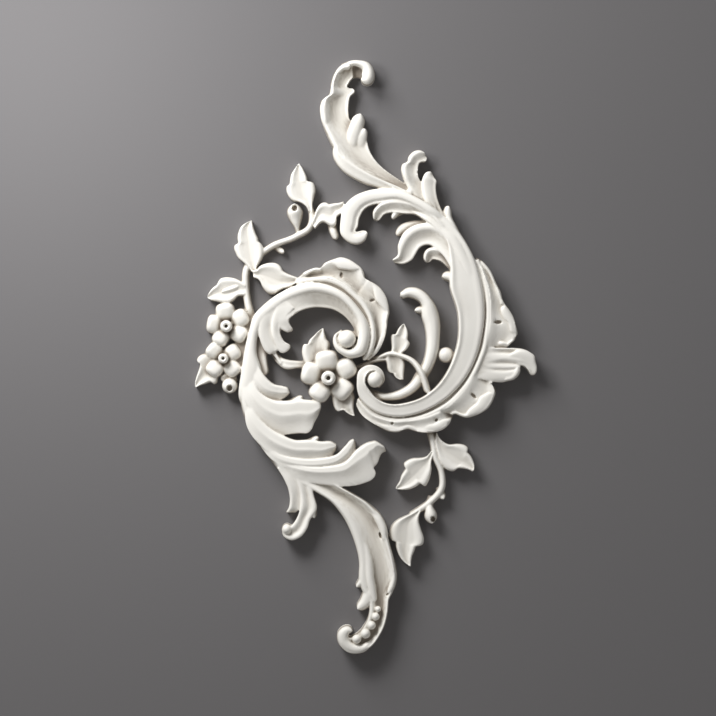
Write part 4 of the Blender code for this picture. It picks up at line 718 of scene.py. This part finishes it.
# %% [markdown]
# ## Flowers
# Each flower has four or five plump petals that press against each other, with a dark crevice where they meet,
# around a ringed eye that looks drilled. The petals are bosses with flattened tops. The large flower in the
# middle stands on two leaves, and two small ones hang outside the stalk with a leaf and a bud.

# %% Flowers
flower(0, 0, 4.7, [(-1.2, 11.4, 8, 7.2), (11.6, 6.3, 7.2, 6.8), (9, -7.3, 7.4, 7),
                   (-5.7, -9, 7.2, 6.8), (-11.5, 3, 7.8, 6.8)], 17)
leaf([(-16, 10, 0, 15), (-17.5, 14.9, 0.4, 19.4), (-17.7, 19.4, 1, 22.5), (-16.4, 22.6, 0, 24.6),
      (-14.2, 22.4, -1.2, 25.8), (-13, 25.1, -1.8, 27.5), (-9.7, 28.4, -2.4, 29.3), (-6.9, 31.2, -2.9, 31.4),
      (-3.8, 33.4, -3.3, 33.2)], 11)
leaf([(2, -11, 16, -9), (2.4, -14.5, 17.3, -12.5), (3.5, -19, 17, -15.5), (5, -21.7, 16.8, -18),
      (6.6, -22.4, 16.8, -19.8), (8.7, -20.4, 16.9, -21), (10.5, -22, 17.1, -22.5), (13.9, -24.3, 17.3, -24),
      (17.3, -25.5, 17.7, -25.4)], 10.5)
flower(-68, 34.5, 3.9, [(-1, 9.8, 6.5, 5.8), (9, 5.3, 6.2, 5.8), (8.4, -5, 6, 5.6),
                        (-4, -7.7, 5.7, 5.4), (-8.6, 1.5, 6.6, 4.9)], 13.5)
flower(-70, 13, 3.3, [(-6.4, 5.2, 5.6, 5.2), (6.2, 4, 5.6, 5.2),
                      (5.8, -6.6, 5.8, 5.6), (-5.8, -6.6, 5.8, 5.6)], 13.5)
finger([(-55, 46, 8, 8), (-57, 30, 8, 7), (-60, 16, 8, 7), (-62, 2, 7, 7)], FLAT)
leaf([(-80, 16.5, -74, 0), (-84.7, 15.8, -74.5, -2.8), (-87.5, 13.3, -76.3, -4.4), (-88, 11.6, -77.4, -3.6),
      (-85.9, 9.8, -78.6, -3), (-86.2, 7.1, -80.3, -3.4), (-87.3, 3.7, -82, -4), (-88.4, 0.3, -84.4, -4.7),
      (-89.2, -4.2, -87.2, -5.7), (-88.9, -6.5, -88.6, -6.5)], 9)
finger([(-62, 2, 8, 7.5), (-72, -1, 5, 7.5)], FLAT, root=0)
dome(-66, -5.2, 5.2, 5.2, 7, 12.5)
print("flowers:", len(strokes), "strokes in all")

# %% [markdown]
# ## Melting the strokes into one casting
# A casting has no seams: where two strokes cross, resin fills the corner. Joining the strokes and remeshing
# them on a fine grid of cubes gives just that, one closed skin round all of them, and a few smoothing steps
# round its edges as the mould does. A Boolean union of so many crossing pieces would be slow and would keep
# every seam. The skin is then thinned, because flat places need few faces.

# %% Join, remesh and smooth
def finish_modifier(obj, kind, name, **settings):
    """Add one modifier with its settings and apply it."""
    modifier = obj.modifiers.new(name, kind)
    for setting, value in settings.items():
        setattr(modifier, setting, value)
    bpy.context.view_layer.objects.active = obj
    bpy.ops.object.modifier_apply(modifier=modifier.name)


bpy.ops.object.select_all(action="DESELECT")
for stroke in strokes:
    stroke.select_set(True)
casting = strokes[0]
bpy.context.view_layer.objects.active = casting
bpy.ops.object.join()
casting.name = "resin_casting"
print("joined strokes:", len(casting.data.vertices), "points")
for pattern in (boss, eye):
    bpy.data.objects.remove(pattern, do_unlink=True)

finish_modifier(casting, "REMESH", "melt", mode="VOXEL", voxel_size=GRAIN * MM)
finish_modifier(casting, "SMOOTH", "soften", factor=0.5, iterations=2)
print("melted:", len(casting.data.polygons), "faces")

# %% [markdown]
# ## Pits and drill holes
# Some details go into the surface: the drilled ends of the buds and a few deep pits in the frills. They are
# sunk into the fine skin by pushing the points inside each oval back, with a steep smooth wall.

# %% Sink the pits
PITS = [  # x, z, half width, half height, turn in degrees, depth
    (-65.9, -6.8, 1.7, 1.9, 0, 5), (-22.6, 113.2, 1.7, 1.9, 0, 5), (69.7, -94.2, 1.4, 1.8, 0, 4.5),
    (8.6, 68.6, 0.9, 1.8, 0, 1.7), (29.2, 51.8, 1.6, 0.9, 15, 1.6), (112.8, 37.2, 2.5, 1.2, 0, 2.2),
    (96.6, -11.8, 2.4, 1, -44, 1.9), (71.8, -27.9, 1, 1.1, 0, 2.2), (42.4, -30.2, 0.9, 0.9, 0, 2),
    (34.6, -105, 0.8, 2, 14, 2.4), (39.4, -144.2, 1, 0.6, 40, 1.4),
]
WALL = 0.35           # width of a pit's wall as a share of its half size
FRONT = 1.5           # height above which a point belongs to the front and can be pushed in
LEFT_UNDER = 1.2      # height that is left under the deepest pit
points = np.empty(len(casting.data.vertices) * 3)
casting.data.vertices.foreach_get("co", points)
points = points.reshape(-1, 3)
for x, z, half_x, half_z, turn, depth in PITS:
    away = points[:, [0, 2]] / MM - (x, z)
    angle = radians(turn)
    across = away[:, 0] * np.cos(angle) + away[:, 1] * np.sin(angle)
    up = away[:, 1] * np.cos(angle) - away[:, 0] * np.sin(angle)
    reach = np.hypot(across / half_x, up / half_z)
    sunk = np.clip((1 + WALL - reach) / (2 * WALL), 0, 1)
    sunk = sunk * sunk * (3 - 2 * sunk)
    front = points[:, 1] < -FRONT * MM
    points[front, 1] = np.minimum(points[front, 1] + depth * sunk[front] * MM, -LEFT_UNDER * MM)
casting.data.vertices.foreach_set("co", points.ravel())
print("pits sunk:", len(PITS))

# %% [markdown]
# ## The flat back
# An open mould is struck off level, so the real back is a plane. Pushing the points behind that plane flat would
# bend the side walls next to it. So a Boolean takes a block of wall away from the casting, which cuts the
# strokes' backs off and closes the skin in one step.

# %% Thin the skin and cut the back
BLOCK = (0.6, 0.1, 0.8)    # metres, wider and higher than the casting and deeper than what lies behind
SHARP = 50                 # degrees, a steeper bend between two faces than this is shaded as an edge
triangles = sum(len(face.vertices) - 2 for face in casting.data.polygons)
finish_modifier(casting, "DECIMATE", "thin", ratio=min(1, FACES / triangles))
bpy.ops.object.select_all(action="DESELECT")
bpy.ops.mesh.primitive_cube_add(size=1, location=(0, BLOCK[1] / 2, 0), scale=BLOCK)
wall_block = bpy.context.object
bpy.ops.object.transform_apply(location=True, rotation=False, scale=True)
finish_modifier(casting, "BOOLEAN", "flat back", operation="DIFFERENCE", solver="EXACT", object=wall_block)
bpy.data.objects.remove(wall_block, do_unlink=True)
bpy.ops.object.select_all(action="DESELECT")
casting.select_set(True)
bpy.context.view_layer.objects.active = casting
bpy.ops.object.shade_smooth_by_angle(angle=radians(SHARP))
print("finished casting:", sum(len(face.vertices) - 2 for face in casting.data.polygons), "triangles")

# %% [markdown]
# ## Painted shade in the hollows
# The hollows are painted a little warmer and darker than the crests, which is painted shade. The shader needs
# to know where a hollow is, so each point gets a number: how far it lies below the average height of the
# carving round it. It is stored on the mesh as an attribute.

# %% Measure the hollows
CELL = 0.5            # size of a cell of the height map
MARGIN = 20           # empty cells round the casting
BACK_RIM = 0.3        # height below which a point belongs to the flat back, which gets no painted shade
SPARSE = 0.05         # least share of filled cells that an average is divided by
SCALES = ((10, 7), (5, 4.2), (1, 1.6))  # an average's reach in cells, and the depth that is fully hollow


def average(grid, reach):
    """The grid averaged over a square of cells, three times over, which is close to a soft round blur."""
    for _ in range(3):
        for axis in (0, 1):
            rims = [(reach + 1, reach) if axis == side else (0, 0) for side in (0, 1)]
            padded = np.pad(grid, rims, mode="edge")
            total = np.cumsum(padded, axis=axis)
            size = 2 * reach + 1
            ahead = np.take(total, range(size, total.shape[axis]), axis=axis)
            behind = np.take(total, range(0, total.shape[axis] - size), axis=axis)
            grid = (ahead - behind) / size
    return grid


points = np.empty(len(casting.data.vertices) * 3)
casting.data.vertices.foreach_get("co", points)
points = points.reshape(-1, 3) / MM
lowest = points[:, [0, 2]].min(axis=0) - MARGIN * CELL
cells = np.rint((points[:, [0, 2]] - lowest) / CELL).astype(int)
shape = cells.max(axis=0) + MARGIN + 1
heights = np.zeros(shape)
np.maximum.at(heights, (cells[:, 0], cells[:, 1]), -points[:, 1])
filled = (heights > 0).astype(float)
hollow = np.zeros(len(points))
for reach, deep in SCALES:
    around = average(heights, reach) / np.maximum(average(filled, reach), SPARSE)
    hollow += np.clip((around[cells[:, 0], cells[:, 1]] + points[:, 1]) / deep, 0, 1)
hollow = np.where(points[:, 1] > -BACK_RIM, 0, np.clip(hollow, 0, 1))
# this number darkens the hollows in the shader: painted shade
casting.data.attributes.new("hollow", "FLOAT", "POINT").data.foreach_set("value", hollow)
print("mean hollow:", round(float(hollow.mean()), 3))

# %% [markdown]
# ## The finish: cast resin
# The real material is polyurethane or polyester resin, poured and left matt, or given one thin coat of
# off-white. That gives the eye a soft, nearly chalky white with a faint sheen on the crests and a very fine
# grain from the mould. The hollows are painted a slightly warm, darker grey, which is painted shade. Resin
# has an index of refraction of about 1.5.

# %% Cast resin
def linear(colour):
    """An sRGB hex colour as the linear colour that Blender works in."""
    channels = [int(colour[place:place + 2], 16) / 255 for place in (1, 3, 5)]
    return [c / 12.92 if c <= 0.04045 else ((c + 0.055) / 1.055) ** 2.4 for c in channels] + [1]


def add_node(tree, kind, links=(), **settings):
    """A node with its settings and its links. A setting that is a socket's name goes to the socket."""
    node = tree.nodes.new(kind)
    for name, value in settings.items():
        if name in node.inputs:
            node.inputs[name].default_value = value
        else:
            setattr(node, name, value)
    for source, socket in links:
        tree.links.new(source, node.inputs[socket])
    return node


def start_material(name):
    """A new material with its node tree and its Principled shader."""
    material = bpy.data.materials.new(name)
    material.use_nodes = True
    return material, material.node_tree, material.node_tree.nodes["Principled BSDF"]


GRAIN_SIZE = 0.9      # mm, the mould's grain, drawn coarser than the real one so that it shows
CLOUD_SIZE = 26       # mm, the slow change of tone over the casting
CLOUD_DEPTH = 0.3     # how far the clouds shift the tone along the ramp
MATT = (0.48, 0.62)   # roughness in the low and the high spots of the grain
HALF_SHADED = 0.4       # place of the middle colour on the ramp, which runs from the lit white to painted shade
resin, tree, shader = start_material("cast_resin")
place = add_node(tree, "ShaderNodeTexCoord")
hollow_shade = add_node(tree, "ShaderNodeAttribute", attribute_name="hollow")
clouds = add_node(tree, "ShaderNodeTexNoise", [(place.outputs["Object"], "Vector")],
                  Scale=1 / (CLOUD_SIZE * MM), Detail=3.0)
grain = add_node(tree, "ShaderNodeTexNoise", [(place.outputs["Object"], "Vector")],
                 Scale=1 / (GRAIN_SIZE * MM), Detail=2.0)
tint = add_node(tree, "ShaderNodeMath", [(clouds.outputs["Fac"], 0)], operation="MULTIPLY_ADD")
tint.inputs[1].default_value = CLOUD_DEPTH
tint.inputs[2].default_value = -CLOUD_DEPTH / 2
# painted shade from the hollows, shifted by the random change of tone from the clouds
shade_and_tone = add_node(tree, "ShaderNodeMath", [(hollow_shade.outputs["Fac"], 0), (tint.outputs["Value"], 1)],
                   operation="ADD", use_clamp=True)
ramp = add_node(tree, "ShaderNodeValToRGB", [(shade_and_tone.outputs["Value"], "Fac")])
# the ramp runs from the lit white at 0 to the darkest painted shade at 1
ramp.color_ramp.elements[0].color = linear("#F8F5EE")
ramp.color_ramp.elements[1].color = linear("#A0968A")
middle = ramp.color_ramp.elements.new(HALF_SHADED)
middle.color = linear("#DFDAD0")
rough = add_node(tree, "ShaderNodeMapRange", [(grain.outputs["Fac"], "Value")])
rough.inputs["To Min"].default_value = MATT[0]
rough.inputs["To Max"].default_value = MATT[1]
bump = add_node(tree, "ShaderNodeBump", [(grain.outputs["Fac"], "Height")],
                Strength=0.12, Distance=0.15 * MM)
tree.links.new(ramp.outputs["Color"], shader.inputs["Base Color"])
tree.links.new(rough.outputs["Result"], shader.inputs["Roughness"])
tree.links.new(bump.outputs["Normal"], shader.inputs["Normal"])
shader.inputs["IOR"].default_value = 1.5
casting.data.materials.clear()
casting.data.materials.append(resin)
print("material:", resin.name)

# %% [markdown]
# ## Where it hangs
# The photograph shows it on a plain mid-grey wall. A wall plane stands just behind the flat back, and a pale
# floor lies below, out of the picture. The wall is see-through from behind, and to light that has only just left
# the casting's back, so that the back can be looked at and isn't black.

# %% Wall and floor
WALL_GAP = 0.0006     # metres, from the casting's back to the wall
JUST_LEFT = 1.5       # mm, light that has come no further than this has only just left the back
FLOOR_HEIGHT = -1.1   # metres
bpy.ops.object.select_all(action="DESELECT")
bpy.ops.mesh.primitive_plane_add(size=3, location=(0, WALL_GAP, 0.4), rotation=(radians(90), 0, 0))
wall = bpy.context.object
wall.name = "wall"
paint, tree, shader = start_material("wall_paint")
shader.inputs["Base Color"].default_value = linear("#716F70")
shader.inputs["Roughness"].default_value = 0.75
clear = add_node(tree, "ShaderNodeBsdfTransparent")
geometry = add_node(tree, "ShaderNodeNewGeometry")
path = add_node(tree, "ShaderNodeLightPath")
close = add_node(tree, "ShaderNodeMath", [(path.outputs["Ray Length"], 0)], operation="LESS_THAN")
close.inputs[1].default_value = JUST_LEFT * MM
let_through = add_node(tree, "ShaderNodeMath", [(geometry.outputs["Backfacing"], 0),
                                                (close.outputs["Value"], 1)], operation="MAXIMUM")
either = add_node(tree, "ShaderNodeMixShader", [(let_through.outputs["Value"], 0),
                                                (shader.outputs["BSDF"], 1), (clear.outputs["BSDF"], 2)])
tree.links.new(either.outputs["Shader"], tree.nodes["Material Output"].inputs["Surface"])
wall.data.materials.append(paint)
bpy.ops.object.select_all(action="DESELECT")
bpy.ops.mesh.primitive_plane_add(size=4, location=(0, -1, FLOOR_HEIGHT))
floor = bpy.context.object
floor.name = "floor"
pale, tree, shader = start_material("pale_floor")
shader.inputs["Base Color"].default_value = linear("#DAD8D4")
shader.inputs["Roughness"].default_value = 0.8
floor.data.materials.append(pale)
print("stage:", wall.name, "and", floor.name)

# %% [markdown]
# ## Light and camera
# A soft lamp stands close by to the upper left and gives the soft shadows to the lower right. A small weak one
# near the wall makes its upper left corner brighter, as in the photograph, and an even studio light fills the
# shadows. The camera looks straight at the wall from two metres with a long lens, as a catalogue photograph is
# taken, so the relief hardly shows its sides.

# %% Lamps, fill and camera
def aim(obj, target):
    """Turn a lamp or camera to look at a point."""
    obj.rotation_euler = (Vector(target) - obj.location).to_track_quat("-Z", "Y").to_euler()


def lamp(name, place, target, size, watts):
    """A square area lamp of that size in metres, which looks at a point."""
    data = bpy.data.lights.new(name, "AREA")
    data.size = size
    data.energy = watts
    obj = bpy.data.objects.new(name, data)
    bpy.context.scene.collection.objects.link(obj)
    obj.location = place
    aim(obj, target)


FILL = 0.27           # strength of the even studio light
lamp("key", (-0.6, -0.66, 0.95), (0.02, 0, 0), 0.66, 16.3)
lamp("corner", (-0.21, -0.28, 0.244), (-0.2, 0, 0.2), 0.12, 0.66)
world = bpy.data.worlds.new("studio")
world.use_nodes = True
world.node_tree.nodes["Background"].inputs["Color"].default_value = linear("#F2F2F2")
world.node_tree.nodes["Background"].inputs["Strength"].default_value = FILL
bpy.context.scene.world = world
bpy.context.scene.view_settings.view_transform = "Standard"

FRAME_WIDTH = 477.3   # mm of wall across the picture
SENSOR = 36           # mm
LENS = 150            # mm
MIDDLE = (19.67, 13.33)    # mm, the point at the middle of the picture
MID_DEPTH = 10        # mm in front of the wall, where the picture's width is measured
distance = FRAME_WIDTH * LENS / SENSOR
camera = bpy.data.objects.new("camera", bpy.data.cameras.new("camera"))
bpy.context.scene.collection.objects.link(camera)
camera.data.lens = LENS
camera.data.sensor_width = SENSOR
camera.location = (MIDDLE[0] * MM, -(distance + MID_DEPTH) * MM, MIDDLE[1] * MM)
aim(camera, (MIDDLE[0] * MM, 0, MIDDLE[1] * MM))
bpy.context.scene.camera = camera
print("camera at", [round(value, 3) for value in camera.location])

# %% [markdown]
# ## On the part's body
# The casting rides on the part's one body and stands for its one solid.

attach(casting, "root")
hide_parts("scroll_ornament")
